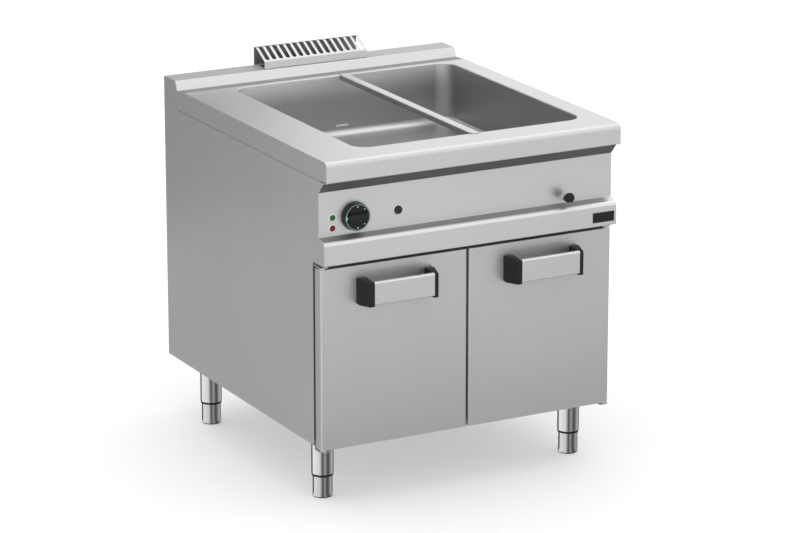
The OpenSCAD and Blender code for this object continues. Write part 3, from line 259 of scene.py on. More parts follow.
def bend(piece, r, test, segments=6, share=1.0):
    """Rounds the chosen edges to about r millimetres."""
    count = edges_where(piece, test)
    bpy.ops.mesh.bevel(offset=r * share / 1000, offset_type="OFFSET", segments=segments, profile=0.5,
        affect="EDGES", clamp_overlap=False)
    bpy.ops.object.mode_set(mode="OBJECT")
    return count


def smooth(piece):
    """Shades round faces smooth and keeps the flats flat."""
    hold(piece)
    bpy.ops.object.shade_smooth_by_angle(angle=radians(32))
    apply(piece, "WEIGHTED_NORMAL", keep_sharp=True)


def ease(piece, width=0.4, segments=2):
    """Breaks the sharp corners and smooths what is left."""
    apply(piece, "BEVEL", width=width / 1000, segments=segments, limit_method="ANGLE",
        angle_limit=radians(34), use_clamp_overlap=True)
    smooth(piece)


def join(name, *parts):
    """Makes several meshes one piece."""
    hold(parts[0])
    for part in parts:
        part.select_set(True)
    bpy.ops.object.join()
    parts[0].name = parts[0].data.name = name
    return parts[0]


# %% [markdown]
# ## Folding a sheet
# The folding machine starts from a flat strip and turns up one flange after
# another. Here a plane is the first flat, and its far edge is pulled out once
# for each further flat. Bevels on the fold lines give the bend radii, and
# Solidify gives the sheet its thickness on the inner side.

# %% The folding machine
sheet = 1.2


def fold(name, line, radii, width, thick=sheet):
    """A sheet folded along a line of (y, z) corners; its outer face is on the left of the way."""
    (y0, z0), (y1, z1) = line[:2]
    piece = stock(name, bpy.ops.mesh.primitive_plane_add, (width / 1000, hypot(y1 - y0, z1 - z0) / 1000, 1),
        size=1, location=at(0, (y0 + y1) / 2, (z0 + z1) / 2), rotation=(atan2(z1 - z0, y1 - y0), 0, 0))
    edges_where(piece, both(y=y1, z=z1))
    for (ya, za), (yb, zb) in zip(line[1:], line[2:]):
        pull(0, yb - ya, zb - za)
    for k, r in enumerate(radii, start=1):
        (ya, za), (yb, zb), (yc, zc) = line[k - 1:k + 2]
        turn = abs((atan2(zc - zb, yc - yb) - atan2(zb - za, yb - ya) + pi) % (2 * pi) - pi)
        bend(piece, r, both(y=yb, z=zb), segments=3 if r < 3 else 8, share=tan(turn / 2))
    thicken(piece, thick)
    return piece


# %% [markdown]
# ## Satin stainless steel
# The panels are stainless steel with a satin finish: very fine scratches that
# all run one way. They blur reflections, so the metal looks soft grey and not
# like a mirror. Noise stretched along the grain varies the roughness and gives
# a slight relief, and a broad soft noise varies the tone as handling does.

# %% A node at a time
def new_finish(name):
    """A material with its shader, ready for more nodes."""
    finish = bpy.data.materials.new(name)
    finish.use_nodes = True
    return finish, finish.node_tree.nodes["Principled BSDF"]


def feed(finish, node, values):
    """Sets a node's inputs: each gets a plain value, or the socket that feeds it."""
    for key, value in values.items():
        if isinstance(value, bpy.types.NodeSocket):
            finish.node_tree.links.new(value, node.inputs[key])
        else:
            node.inputs[key].default_value = value


def add(finish, kind, values=(), **settings):
    """Adds a shader node with its properties and inputs."""
    made = finish.node_tree.nodes.new("ShaderNode" + kind)
    for key, value in settings.items():
        setattr(made, key, value)
    feed(finish, made, dict(values))
    return made


def own_place(finish):
    """The coordinates of the object's own mesh."""
    return add(finish, "TexCoord").outputs["Object"]


def stretched(finish, scale):
    """The same coordinates, scaled along each axis."""
    return add(finish, "Mapping", {"Vector": own_place(finish), "Scale": scale}).outputs["Vector"]


def noise(finish, scale, detail=2.0):
    """Noise on the object's own coordinates."""
    return add(finish, "TexNoise",
        {"Vector": stretched(finish, scale), "Scale": 1.0, "Detail": detail}).outputs["Fac"]


def ranged(finish, source, start, end, low, high, how="LINEAR"):
    """Maps the values from start to end onto a range."""
    return add(finish, "MapRange", {"Value": source, "From Min": start, "From Max": end,
        "To Min": low, "To Max": high}, interpolation_type=how).outputs["Result"]


def spread(finish, source, low, high):
    """Maps a noise, which is mostly between 0.3 and 0.7, onto a range of values."""
    return ranged(finish, source, 0.3, 0.7, low, high)


def tones(finish, source, dark, light):
    """Colours a noise from a dark tone to a light one."""
    made = add(finish, "ValToRGB", {"Fac": source})
    for stop, place, tone in zip(made.color_ramp.elements, (0.3, 0.7), (dark, light)):
        stop.position = place
        stop.color = (*tone, 1)
    return made.outputs["Color"]


def relief(finish, source, depth):
    """Turns a noise into a fine relief of the given depth in metres."""
    made = add(finish, "Bump", {"Height": source, "Strength": 1.0, "Distance": depth})
    return made.outputs["Normal"]


def mix(finish, factor, first, second):
    """Mixes two numbers."""
    return add(finish, "Mix", {0: factor, 2: first, 3: second}, data_type="FLOAT").outputs[0]


# %% Satin metal, with the grain along x, y or z
def satin(name, tone, rough, grain, metal=0.85):
    """Brushed metal of a grey tone whose scratches run along one axis."""
    finish, shader = new_finish(name)
    stretch = [700.0, 700.0, 700.0]
    stretch["xyz".index(grain)] = 6.0
    scratches = noise(finish, stretch, detail=3.0)
    mixed = mix(finish, 0.55, scratches, noise(finish, (3.0, 3.0, 3.0)))
    feed(finish, shader, {
        "Base Color": tones(finish, mixed, [tone * c for c in (0.955, 0.96, 0.965)], [tone * 1.03] * 3),
        "Roughness": spread(finish, scratches, rough - 0.05, rough + 0.05),
        "Normal": relief(finish, scratches, 0.00002), "Metallic": metal})
    return finish


steel_across = satin("steel_grain_across", 0.70, 0.36, "x")
steel_upright = satin("steel_grain_upright", 0.68, 0.38, "z")
# The doors get a darker copy of the steel: painted shade.
steel_door_painted_shade = satin("steel_doors_with_painted_shade", 0.645, 0.38, "z")
steel_back = satin("steel_grain_front_to_back", 0.70, 0.36, "y")
steel_bright = satin("steel_turned", 0.84, 0.12, "z", metal=1.0)
steel_leg = satin("steel_leg", 0.76, 0.12, "z", metal=1.0)
steel_foot = satin("steel_foot", 0.66, 0.13, "z", metal=1.0)
aluminium = satin("aluminium_anodised", 0.66, 0.36, "x", metal=0.8)
print("satin metals:", len(bpy.data.materials))

# %% [markdown]
# ## The same steel in another light
# A face that turns away from the light looks dull, so a few faces get lighter or darker copies of the satin
# steel, which paint light and shade into their colour: painted light on bends and bright faces, painted shade
# in the gutter, under the nose and inside openings.

# %% Steels with painted light and painted shade
# Lighter copies paint light, darker copies paint shade; the pale copy also gives the tap's neck its own bright
# colour.
steel_painted_light = satin("steel_with_painted_light", 0.79, 0.36, "x")
steel_pale = satin("steel_pale", 0.93, 0.40, "x", metal=0.35)
steel_painted_top_shade = satin("steel_painted_top_shade", 0.46, 0.50, "x", metal=0.2)
steel_painted_shade = satin("steel_with_painted_shade", 0.31, 0.45, "x")
steel_painted_deep_shade = satin("steel_with_painted_deep_shade", 0.15, 0.55, "x", metal=0.7)
steel_unlit = satin("steel_unlit", 0.04, 0.60, "x", metal=0.5)

# %% [markdown]
# Two finishes also change along the piece, and both paint light and shade. The tub is a darker copy of the
# steel, painted shade: its back wall is painted light at its rim, and its right wall is painted darker than the
# left. The rail's ledge has painted shade, and its right end a painted highlight. A smooth step along an axis
# scales the colour.

# %% Steels whose painted light and shade change along an axis
def own_axis(finish, axis):
    """One of the object's own coordinates."""
    return add(finish, "SeparateXYZ", {"Vector": own_place(finish)}).outputs[axis]


def along(finish, axis, start, end, low, high):
    """A smooth step along one of the object's axes, from low at start to high at end."""
    return ranged(finish, own_axis(finish, axis), start, end, low, high, "SMOOTHSTEP")


def scale_tone(finish, factor):
    """Multiplies a finish's colour by a factor."""
    shader = finish.node_tree.nodes["Principled BSDF"]
    colour = shader.inputs["Base Color"].links[0].from_socket
    scaled = add(finish, "VectorMath", {0: colour, "Scale": factor}, operation="SCALE")
    feed(finish, shader, {"Base Color": scaled.outputs[0]})


# The tub's steel: painted shade, darker on the right wall and painted light at the back wall's rim.
steel_tub_painted_light_and_shade = satin("steel_tub_with_painted_shade_and_light", 0.50, 0.42, "x", metal=0.95)
right_wall_painted_shade = along(steel_tub_painted_light_and_shade, "X", 0.325, 0.3468, 0.96, 0.72)
back_rim_painted_light = along(steel_tub_painted_light_and_shade, "Z", 0.800, 0.876, 1.0, 2.1)
at_back = along(steel_tub_painted_light_and_shade, "Y", 0.300, 0.3255, 0.0, 1.0)
scale_tone(steel_tub_painted_light_and_shade, mix(steel_tub_painted_light_and_shade, at_back, right_wall_painted_shade, back_rim_painted_light))
# The rail's ledge: painted shade, with a painted highlight at its right end.
steel_ledge_painted_light_and_shade = satin("steel_ledge_with_painted_shade_and_light", 0.34, 0.50, "x")
scale_tone(steel_ledge_painted_light_and_shade, along(steel_ledge_painted_light_and_shade, "X", 0.368, 0.390, 1.0, 2.3))
print("steels in all:", sum(m.name.startswith("steel") for m in bpy.data.materials))

# %% [markdown]
# ## Plastics and lenses
# The handles' end caps, the knob and the tap are black moulded plastic with a
# fine grain, a little lighter where it catches light. The lamps are coloured
# lenses with ribs.

# %% Moulded plastic and coloured lenses
def moulded(name, dark, light, rough, grain=900.0, shine=0.5):
    """Plastic from a spark-eroded mould, with a fine grain."""
    finish, shader = new_finish(name)
    pores = noise(finish, (grain, grain, grain))
    feed(finish, shader, {
        "Base Color": tones(finish, pores, dark, light), "Specular IOR Level": shine,
        "Roughness": spread(finish, pores, rough - 0.06, rough + 0.06),
        "Normal": relief(finish, pores, 0.00006)})
    return finish


def lens(name, deep, bright):
    """A ribbed lens: the ribs are bands of a wave along z."""
    finish, shader = new_finish(name)
    ribs = add(finish, "TexWave", {"Vector": own_place(finish), "Scale": 160.0, "Distortion": 0.6},
        bands_direction="Z").outputs["Fac"]
    feed(finish, shader, {
        "Base Color": tones(finish, ribs, deep, bright), "Roughness": spread(finish, ribs, 0.16, 0.24),
        "Specular IOR Level": 0.25, "Coat Weight": 0.25, "Coat Roughness": 0.05})
    return finish


black_plastic = moulded("black_plastic", (0.010, 0.010, 0.011), (0.018, 0.018, 0.019), 0.40, shine=0.2)
black_gloss = moulded("black_gloss", (0.008, 0.010, 0.010), (0.014, 0.016, 0.016), 0.26, shine=0.25)
black_grained = moulded("black_grained", (0.012, 0.012, 0.012), (0.045, 0.045, 0.045), 0.55, grain=2600.0,
    shine=0.2)
mark_white = moulded("printed_marks", (0.78, 0.80, 0.79), (0.88, 0.90, 0.89), 0.5)
ring_pale = moulded("pale_ring", (0.36, 0.50, 0.46), (0.46, 0.60, 0.56), 0.35)
pointer_green = moulded("pointer_green", (0.16, 0.52, 0.38), (0.24, 0.62, 0.47), 0.4)
green_glass = lens("green_lens", (0.004, 0.07, 0.012), (0.012, 0.17, 0.03))
red_glass = lens("red_lens", (0.10, 0.002, 0.006), (0.24, 0.006, 0.014))
print("finishes so far:", len(bpy.data.materials))

# %% [markdown]
# ## Handing a piece over
# Each finished piece gets its material, takes the place of its CAD node and
# rides on the node's body, so the doors, the knob and the feet still move. The
# signed volume is printed with it: it is positive only if the faces point out.

# %% Dress a piece and set it on its body
slot_of = {part["node"]: part["material_slot"] for part in frame["record"]["subparts"]}
body_of = {node: body for body, nodes in frame["record"]["behaviour"]["bodies"].items() for node in nodes}


def volume(piece):
    """The signed volume of a mesh in cubic centimetres."""
    mesh = bmesh.new()
    mesh.from_mesh(piece.data)
    found = mesh.calc_volume(signed=True) * 1e6
    mesh.free()
    return found


def hand_over(piece, finish, *nodes, body=None, slot=None):
    """Gives a piece its material, its body and the CAD nodes that it stands for."""
    piece.data.materials.clear()
    piece.data.materials.append(finish)
    hold(piece)
    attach(piece, body or body_of[nodes[0]])
    if nodes:
        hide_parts(*nodes)
    print(f"{piece.name}: {len(piece.data.polygons)} faces, {volume(piece):.1f} cm3")


def second_finish(piece, finish, test):
    """Gives the chosen faces a finish of their own."""
    piece.data.materials.append(finish)
    count = faces_where(piece, test)
    piece.active_material_index = len(piece.data.materials) - 1
    bpy.ops.object.material_slot_assign()
    bpy.ops.object.mode_set(mode="OBJECT")
    print(f"{piece.name}: {count} faces in {finish.name}")


# %% [markdown]
# ## The worktop
# The top is one thick sheet: folded down in front over a rounded nose, closed
# at both sides by upright aprons, and falling a little into a gutter at the
# back. A block is the quickest start, because it has the aprons already. The
# underside comes off, the back edge drops, the nose is rounded, and Solidify
# leaves two millimetres of steel. The tub's opening is punched last.

# %% The worktop's sheet
side = 400
worktop_z, apron_z, top_thick = 870, 819, 2
gutter_start, gutter_end, gutter_z = 780, 823.4, 866.5
nose_r, nose_return = 12, 30

worktop = block("worktop_sheet", (-side, 0, apron_z), (side, gutter_end, worktop_z))
take_off(worktop, facing("z", -1))
slice_at((0, gutter_start, 0), (0, 1, 0))
edges_where(worktop, both(y=gutter_end, z=worktop_z))
shift(0, 0, gutter_z - worktop_z)
edges_where(worktop, both(y=0, z=apron_z))
pull(0, nose_return, 0)
print("nose edges rounded:", bend(worktop, nose_r, both(y=0, z=worktop_z), segments=8))
bend(worktop, 2.6, both(y=0, z=apron_z), segments=3)
thicken(worktop, top_thick)

# %% The tub's opening
tub_left, tub_right, tub_front, tub_back = -271, 347, 89, 769
tub_floor = 712
tub_r, tub_floor_r, lip_r = 42, 16, 2.5

well_punch = block("well_punch", (tub_left - lip_r, tub_front - lip_r, worktop_z - 20),
    (tub_right + lip_r, tub_back + lip_r, worktop_z + 20))
bend(well_punch, tub_r + lip_r, runs("z"), segments=12)
ease(worktop, 0.95, segments=3)
cut(worktop, well_punch)
smooth(worktop)
hand_over(worktop, steel_across, "worktop")
# The gutter's faces get painted shade.
second_finish(worktop, steel_painted_shade, lambda middle, normal:
    middle.y > gutter_start and normal.z > 0.9 and normal.y > 0.03)

# %% [markdown]
# ## The tub
# The tub is pressed and welded, with wide corners that a cloth can reach into.
# A block without its lid has the right form: the upright corners are bevelled
# first, then the loop round the floor. The rim is then pulled up and out in
# small steps, so that it rolls over into the worktop, where it is welded and
# ground flush. The wall grows outwards, so the inside keeps its size.

# %% Walls, floor and rolled rim
rim_z = worktop_z - lip_r
tub_wide, tub_deep = tub_right - tub_left, tub_back - tub_front
tub_middle = ((tub_left + tub_right) / 2, (tub_front + tub_back) / 2, rim_z)
lip_steps, weld_edge = 6, 0.8

tub = block("tub", (tub_left, tub_front, tub_floor), (tub_right, tub_back, rim_z))
take_off(tub, facing("z", 1))
bend(tub, tub_r, runs("z"), segments=14)
bend(tub, tub_floor_r, both(z=tub_floor), segments=8)
edges_where(tub, both(z=rim_z))
out, up = 0, 0
for k in range(1, lip_steps + 2):
    turn = min(k, lip_steps) * pi / 2 / lip_steps
    old_out, old_up = out, up
    out = 2 * lip_r * (1 - cos(turn)) + (weld_edge if k > lip_steps else 0)
    up = lip_r * sin(turn) - 0.05
    pull(0, 0, up - old_up)
    scale_by((tub_wide + out) / (tub_wide + old_out), (tub_deep + out) / (tub_deep + old_out), 1, tub_middle)
thicken(tub, 1.5, offset=1)
print("tub faces:", len(tub.data.polygons))

# %% The drain's hole, the spout's hole and the level mark
tap_x, spout_z = 264.3, 844
cut(tub, bar("drain_punch", 22, (-200, 160, tub_floor - 12), (-200, 160, tub_floor + 4), sides=64))
cut(tub, pin("spout_punch", 7.6, tap_x, spout_z, tub_front - 9, tub_front + 6, 32))
smooth(tub)
hand_over(tub, steel_tub_painted_light_and_shade, "well_walls", "well_floor_pan")
second_finish(tub, steel_across, lambda middle, normal: middle.z > rim_z + 0.1)
# The floor's rounded band gets a painted highlight.
second_finish(tub, steel_painted_light, lambda middle, normal:
    tub_floor < middle.z < tub_floor + tub_floor_r and 0.04 < normal.z < 0.97)

mark = block("level_mark", (20, tub_back - 0.8, 735.6), (56, tub_back + 0.4, 740.4))
bend(mark, 1.5, runs("y"), segments=5)
ease(mark, 0.4)
hand_over(mark, mark_white, body="cabinet", slot="satin_steel")

# %% [markdown]
# ## The bar across the tub
# A bar with folded flanges rests on the worktop's front and back margins and
# carries the pans' inner rims. It starts as a block. The underside and the two
# ends come off, and the ends of the web are pulled out over the margins, so
# that only the flat web rests there. Its left flange looks into the dark tub.

# %% The pan support bar
bar_left, bar_right = 31, 55
bar_start, bar_end, bar_rest = 91, 767, 9
web_top, flange_low = worktop_z + 1.8, worktop_z - 11.7

support = block("pan_support_bar", (bar_left, bar_start, flange_low), (bar_right, bar_end, web_top))
take_off(support, lambda middle, normal: normal.z < -0.5 or abs(normal.y) > 0.5)
bend(support, 2.2, lambda a, b: near(a.x, b.x) and both(z=web_top)(a, b), segments=5)
for y, way in ((bar_start, -bar_rest), (bar_end, bar_rest)):
    edges_where(support, both(y=y, z=web_top))
    pull(0, way, 0)
thicken(support, 1.5)
ease(support, 0.35)
hand_over(support, steel_back, "support_bar")
# The left flange, which faces the dark tub, gets painted shade.
second_finish(support, steel_painted_shade, facing("x", -1))

# %% [markdown]
# ## The splashback
# Behind the gutter the sheet rises with a slight lean, turns back into a flat
# ledge and hangs down behind. The ledge has the hole of the vent duct. Five
# corners on the folding line are all that it needs.

# %% The splashback's sheet
inner_side = side - sheet
ledge_z, back_y, lean_y = 890, 900, 833.4

splash = fold("splashback_sheet", [(gutter_end, 846.5), (gutter_end, gutter_z), (lean_y, ledge_z),
    (back_y, ledge_z), (back_y, worktop_z)], [1.8, 1.8, 1.8], 2 * inner_side)
cut(splash, block("duct_punch", (-139, 853, ledge_z - 10), (139, 893.8, ledge_z + 10)))
ease(splash, 0.35)
# The whole sheet is a lighter copy of the steel: painted light.
hand_over(splash, steel_painted_light, "splashback")
# Its flat top gets painted shade.
second_finish(splash, steel_painted_top_shade, facing("z", 1))

# %% [markdown]
# ## The vent grille
# Steam and heat leave through a grille with fifteen long slots with round ends.
# The sheet is folded first. One slot's punch is a block with its short ends rounded, and copies of it, each
# with its own mesh, are set side by side. The upright front strip gets painted light, and the faces seen
# through the slots get painted shade.

# %% The folded grille and its slots
grille_front, grille_top, grille_back = 838, 937, 901.5
slots_each_side, slot_pitch, slot_half = 7, 19.2, 5.9

grille = fold("vent_grille", [(852, ledge_z), (grille_front, ledge_z), (grille_front, 910), (887, grille_top),
    (grille_back, grille_top), (grille_back, 880)], [2.1, 2.1, 2.1, 2.1], 294, 1.5)
slot_punch = block("slot_punch", (-slot_half, 843, 905), (slot_half, 896, 945))
bend(slot_punch, slot_half - 0.1, runs("z"), segments=6)
punches = [copy_of(slot_punch, k * slot_pitch, 0) for k in range(-slots_each_side, slots_each_side + 1)]
bpy.data.objects.remove(slot_punch)
cut(grille, join("slot_punches", *punches))
ease(grille, 0.3)
hand_over(grille, steel_across, "flue_grille")
# The front strip gets painted light.
second_finish(grille, steel_pale, lambda middle, normal: normal.y < -0.9 and middle.y < grille_front + 2)
# The underside and the back wall get painted shade.
second_finish(grille, steel_painted_shade, lambda middle, normal:
    normal.z < -0.3 or (normal.y < -0.9 and middle.y > grille_back - 6.5))

# %% [markdown]
# ## The front: hand rail, control panel and the strip under the nose
# One sheet makes the whole front. It starts behind the hand rail, goes round
# the rail's big upper edge, rises as the control panel and slants out again
# to the nose. The controls go through holes that are punched before assembly.
# The strip under the nose and the ledge on the rail get painted shade, the ledge's right end and the rail's
# round edge a painted highlight.

# %% The control panel's sheet
face_y, strip_y = 42.2, 18
rail_y, rail_low, rail_high, rail_r = 14.6, 614.1, 670.3, 11
face_low, face_high, strip_top = 679.3, 788, 815
knob_x, button_x, lamp_x = -304.5, -189.5, -364
control_z, green_z, red_z, tap_z = 721.5, 724, 698.5, 691.5

front = fold("front_sheet", [(73.8, rail_low), (rail_y, rail_low), (rail_y, rail_high), (face_y, face_low),
    (face_y, face_high), (strip_y, strip_top), (strip_y, apron_z)],
    [1.8, rail_r, 0.9, 0.9, 1.8], 2 * inner_side)
for x, z, r in ((knob_x, control_z, 6), (lamp_x, green_z, 6.1), (lamp_x, red_z, 6.1),
        (button_x, control_z, 12.1), (tap_x, tap_z, 5.5)):
    cut(front, pin("hole_punch", r, x, z, face_y - 5, face_y + 8, 40))
ease(front, 0.3)
hand_over(front, steel_across, "control_panel")
# Painted shade under the nose and on the ledge, and a painted highlight on the rail's round edge.
second_finish(front, steel_painted_deep_shade, lambda middle, normal:
    face_high + 0.2 < middle.z < strip_top - 0.2 and normal.y < -0.6 and normal.z < -0.5)
second_finish(front, steel_ledge_painted_light_and_shade, lambda middle, normal: 672 < middle.z < face_low - 0.1 and normal.z > 0.945)
second_finish(front, steel_painted_light, lambda middle, normal: 662.2 < middle.z < 672.9 and middle.y < 22.3
    and normal.y > -0.995 and 0.05 < normal.z < 0.945)

# %% The bare black plate at the right of the rail
plate = block("bare_plate", (333.4, rail_y - 1.2, 624.7), (393.4, rail_y, 649.7))
bend(plate, 1.6, runs("y"), segments=5)
ease(plate, 0.3)
hand_over(plate, black_gloss, "badge_plate")

# %% [markdown]
# ## The side panels
# Each side is one large plate whose front edge follows the front sheet's
# outline. Its outline is drawn as by hand: a plane is shrunk to one point, and
# that point is pulled from corner to corner. The face is filled in, and its
# front and bottom edges are folded inwards. The narrow fold beside the door is
# hidden from the light, so it is dark.

# %% Draw an outline from a single point
def outline_plate(name, x, corners):
    """A flat face in the plane at x, drawn through (y, z) corners."""
    piece = stock(name, bpy.ops.mesh.primitive_plane_add, size=0.01, location=at(x, *corners[0]))
    hold(piece, "VERT", "SELECT")
    bpy.ops.mesh.merge(type="CENTER")
    for (ya, za), (yb, zb) in zip(corners, corners[1:]):
        step = (0, (yb - ya) / 1000, (zb - za) / 1000)
        bpy.ops.mesh.extrude_vertices_move(TRANSFORM_OT_translate={"value": step})
    mesh = bmesh.from_edit_mesh(piece.data)
    for v in mesh.verts:
        p = bench(v.co)
        v.select_set(any(near(p.y, y) and near(p.z, z) for y, z in (corners[0], corners[-1])))
    bmesh.update_edit_mesh(piece.data)
    bpy.ops.mesh.edge_face_add()
    bpy.ops.mesh.select_all(action="SELECT")
    bpy.ops.mesh.edge_face_add()
    bpy.ops.object.mode_set(mode="OBJECT")
    return piece


# %% Both side panels
panel_y, panel_low, panel_fold = 72.6, 155.6, 19.2
flange_in, flange_out = side - panel_fold, side - 1
panel_outline = [(panel_y, panel_low), (panel_y, rail_low), (rail_y, rail_low), (rail_y, 662.3), (17.0, 668.2),
    (22.2, 672.8), (face_y, face_low), (face_y, face_high), (strip_y, strip_top), (strip_y, apron_z - 0.9),
    (gutter_end, apron_z - 0.9), (gutter_end, gutter_z), (lean_y, ledge_z), (back_y, ledge_z),
    (back_y, panel_low)]
for name, s in (("left", -1), ("right", 1)):
    panel = outline_plate(name + "_side_sheet", s * side, panel_outline)
    if panel.data.polygons[0].normal.x * s < 0:
        hold(panel, "FACE", "SELECT")
        bpy.ops.mesh.flip_normals()
    edges_where(panel, lambda a, b: both(y=panel_y)(a, b) or both(z=panel_low)(a, b))
    pull(-s * panel_fold, 0, 0)
    thicken(panel, sheet)
    flange = block("rear_flange", (s * flange_in, back_y - 2.4, 156), (s * flange_out, back_y - 1.2, worktop_z))
    panel = join(name + "_side_sheet", panel, flange)
    ease(panel, 0.35)
    hand_over(panel, steel_upright, name + "_side_panel")
    # The narrow fold beside the door gets painted shade.
    second_finish(panel, steel_painted_deep_shade, lambda middle, normal: near(middle.y, panel_y, 0.3) and normal.y < -0.9)

# %% [markdown]
# ## The knob
# The knob is turned on its axis, so a cylinder is the natural start: its front
# is drawn in to a cone and its edge rounded. The grip is a bar across the
# face, narrower on top. A thin pale ring lies near the rim, and the dial has
# plain ticks and one green pointer, without any words.

# %% Skirt and grip bar
knob_back, knob_r, knob_front_r = 41.7, 35.5, 33
skirt_y, grip_y = knob_back - 17, knob_back - 25.6
grip_long, grip_high = 27.5, 11.5
knob_middle = (knob_x, 0, control_z)

skirt = pin("control_knob_body", knob_r, knob_x, control_z, knob_back, skirt_y, 96)
faces_where(skirt, facing("y", -1))
scale_by(knob_front_r / knob_r, 1, knob_front_r / knob_r, knob_middle)
bend(skirt, 1.8, both(y=skirt_y), segments=4)
faces_where(skirt, lambda middle, normal: normal.y < -0.99)
bpy.ops.mesh.inset(thickness=0.0042)
bpy.ops.mesh.inset(thickness=0.0006)
shift(0, 0.8, 0)
cut(skirt, pin("shaft_punch", 3, knob_x, control_z, knob_back + 2, knob_back - 12, 32))

grip = block("grip", (knob_x - grip_long, grip_y, control_z - grip_high),
    (knob_x + grip_long, knob_back - 12, control_z + grip_high))
faces_where(grip, facing("y", -1))
scale_by(0.92, 1, 0.80, knob_middle)
bend(grip, 8, lambda a, b: abs(a.y - b.y) > 5, segments=8)
bend(grip, 2.2, both(y=grip_y), segments=4)
knob = join("control_knob_body", skirt, grip)
ease(knob, 0.3)
hand_over(knob, black_gloss, "control_knob")

# %% The pale ring, the ticks and the pointer
ring = stock("knob_ring", bpy.ops.mesh.primitive_torus_add, major_radius=0.0308, minor_radius=0.00055,
    major_segments=96, minor_segments=8, location=at(knob_x, skirt_y, control_z), rotation=(pi / 2, 0, 0))
hold(ring)
bpy.ops.object.shade_smooth()
hand_over(ring, ring_pale, body="knob", slot="pointer")

tick_start, tick_back, tick_front = 24.4, knob_back - 15.8, knob_back - 16.75
ticks = []
for hour, wide, tall in ((12, 3.0, 4.6), (1.5, 2.0, 3.8), (3, 1.8, 3.4), (4.5, 2.2, 3.8), (6, 3.0, 4.4)):
    tick = block("tick", (-wide / 2, tick_front, tick_start), (wide / 2, tick_back, tick_start + tall))
    hold(tick, "FACE", "SELECT")
    bpy.ops.transform.rotate(value=-radians(hour * 30), orient_axis="Y", center_override=at(0, 0, 0))
    shift(*knob_middle)
    ticks.append(tick)
tick_marks = join("knob_ticks", *ticks)
ease(tick_marks, 0.15, segments=1)
hand_over(tick_marks, mark_white, body="knob", slot="pointer")

pointer = block("knob_pointer_mark", (knob_x - 32.3, knob_back - 17.4, control_z - 6.2),
    (knob_x - 22.8, knob_back - 15.6, control_z + 6.2))
faces_where(pointer, facing("x", 1))
scale_by(1, 1, 0.12, knob_middle)
ease(pointer, 0.4)
hand_over(pointer, pointer_green, "knob_pointer")

# %% [markdown]
# ## Lamps, button and tap
# The lamps are small domes, made from a sphere whose hidden part is cut away, each in a narrow collar whose
# pale outer rim is a painted highlight. The button is a short cylinder with a rounded edge in a light ring. The
# tap's grip leans up a little. It is round bar that starts thin: its rings are scaled to a bulb, and the neck
# is bright.

# %% Two pilot lamps
dome_r, collar_r, collar_y = 8.0, 8.8, face_y - 1.7
for name, z, finish in (("green_lamp", green_z, green_glass), ("red_lamp", red_z, red_glass)):
    dome = stock(name + "_dome", bpy.ops.mesh.primitive_uv_sphere_add, segments=32, ring_count=18,
        radius=dome_r / 1000, location=at(lamp_x, face_y + 3, z), rotation=(pi / 2, 0, 0))
    hold(dome, "FACE")
    slice_at((0, face_y - 0.1, 0), (0, 1, 0), clear_outer=True, use_fill=True)
    collar = pin("collar", collar_r, lamp_x, z, face_y - 0.1, collar_y, 40)
    bend(collar, 1.3, both(y=collar_y), segments=4)
    stem = pin("stem", 5.9, lamp_x, z, face_y - 0.2, face_y + 26, 32)
    lamp = join(name + "_lens", dome, collar, stem)
    ease(lamp, 0.1)
    hand_over(lamp, finish, name)
    # The collar's outer rim is painted pale: a painted highlight.
    second_finish(lamp, steel_pale, lambda middle, normal:
        middle.y < face_y and hypot(middle.x - lamp_x, middle.z - z) > 7.35)

# %% The reset button and its ring
bezel = pin("button_ring", 13.5, button_x, control_z, face_y - 2.4, face_y, 64)
bend(bezel, 1.9, both(y=face_y - 2.4), segments=5)
bezel = join("button_ring", bezel, pin("sleeve", 12, button_x, control_z, face_y - 1, face_y + 1.2, 64))
cut(bezel, pin("button_punch", 10.6, button_x, control_z, face_y - 8, face_y + 8, 64))
ease(bezel, 0.3)
hand_over(bezel, steel_bright, "button_bezel")

button = pin("button_cap", 10.4, button_x, control_z, face_y - 5, face_y + 1, 64)
bend(button, 1.4, both(y=face_y - 5), segments=4)
faces_where(button, facing("y", -1))
bpy.ops.mesh.inset(thickness=0.0015)
shift(0, 0.4, 0)
button = join("button_cap", button, pin("plunger", 4, button_x, control_z, face_y + 1, face_y + 8.2, 32))
ease(button, 0.25)
hand_over(button, black_grained, "reset_button")

# %% The tap's handle
lean = radians(17)
start = Vector((tap_x, face_y - 6, tap_z))
way = Vector((0, -cos(lean), sin(lean)))
grip_r, neck_share, neck_start, grip_end = 12, 0.36, -2, 32.6
bulb = {4: 1.02, 10: 1.16, 17: 1.24, 25: 1.16}


def at_depth(depth):
    """Passes an edge that lies at a depth along the grip."""
    return lambda a, b: all(near((p - start).dot(way), depth) for p in (a, b))


grip = bar("tap_grip", grip_r, start + way * neck_start, start + way * grip_end)
faces_where(grip, lambda middle, normal: normal.dot(way) < -0.9)
scale_by(neck_share, neck_share, neck_share, start + way * neck_start)
hold(grip, "FACE")
for depth in bulb:
    slice_at(start + way * depth, way)
for depth, wider in bulb.items():
    edges_where(grip, at_depth(depth))
    scale_by(wider, wider, wider, start + way * depth)
bend(grip, 2.6, at_depth(grip_end), segments=5)
stem = pin("tap_stem", 4.5, tap_x, tap_z, face_y - 6, face_y + 11.2, 32)
tap = join("tap_handle_grip", grip, stem)
ease(tap, 0.3)
hand_over(tap, black_plastic, "tap_handle")
second_finish(tap, steel_pale, lambda middle, normal: (middle - start).dot(way) < 3.9)

# %% [markdown]
# ## The doors
# Each door is a folded pan: a front face whose four edges turn back. The front
# corners of the upright edges have a visible radius. A small hole at the top
# and bottom takes the hinge bush. A liner, which the CAD has, closes the pan.

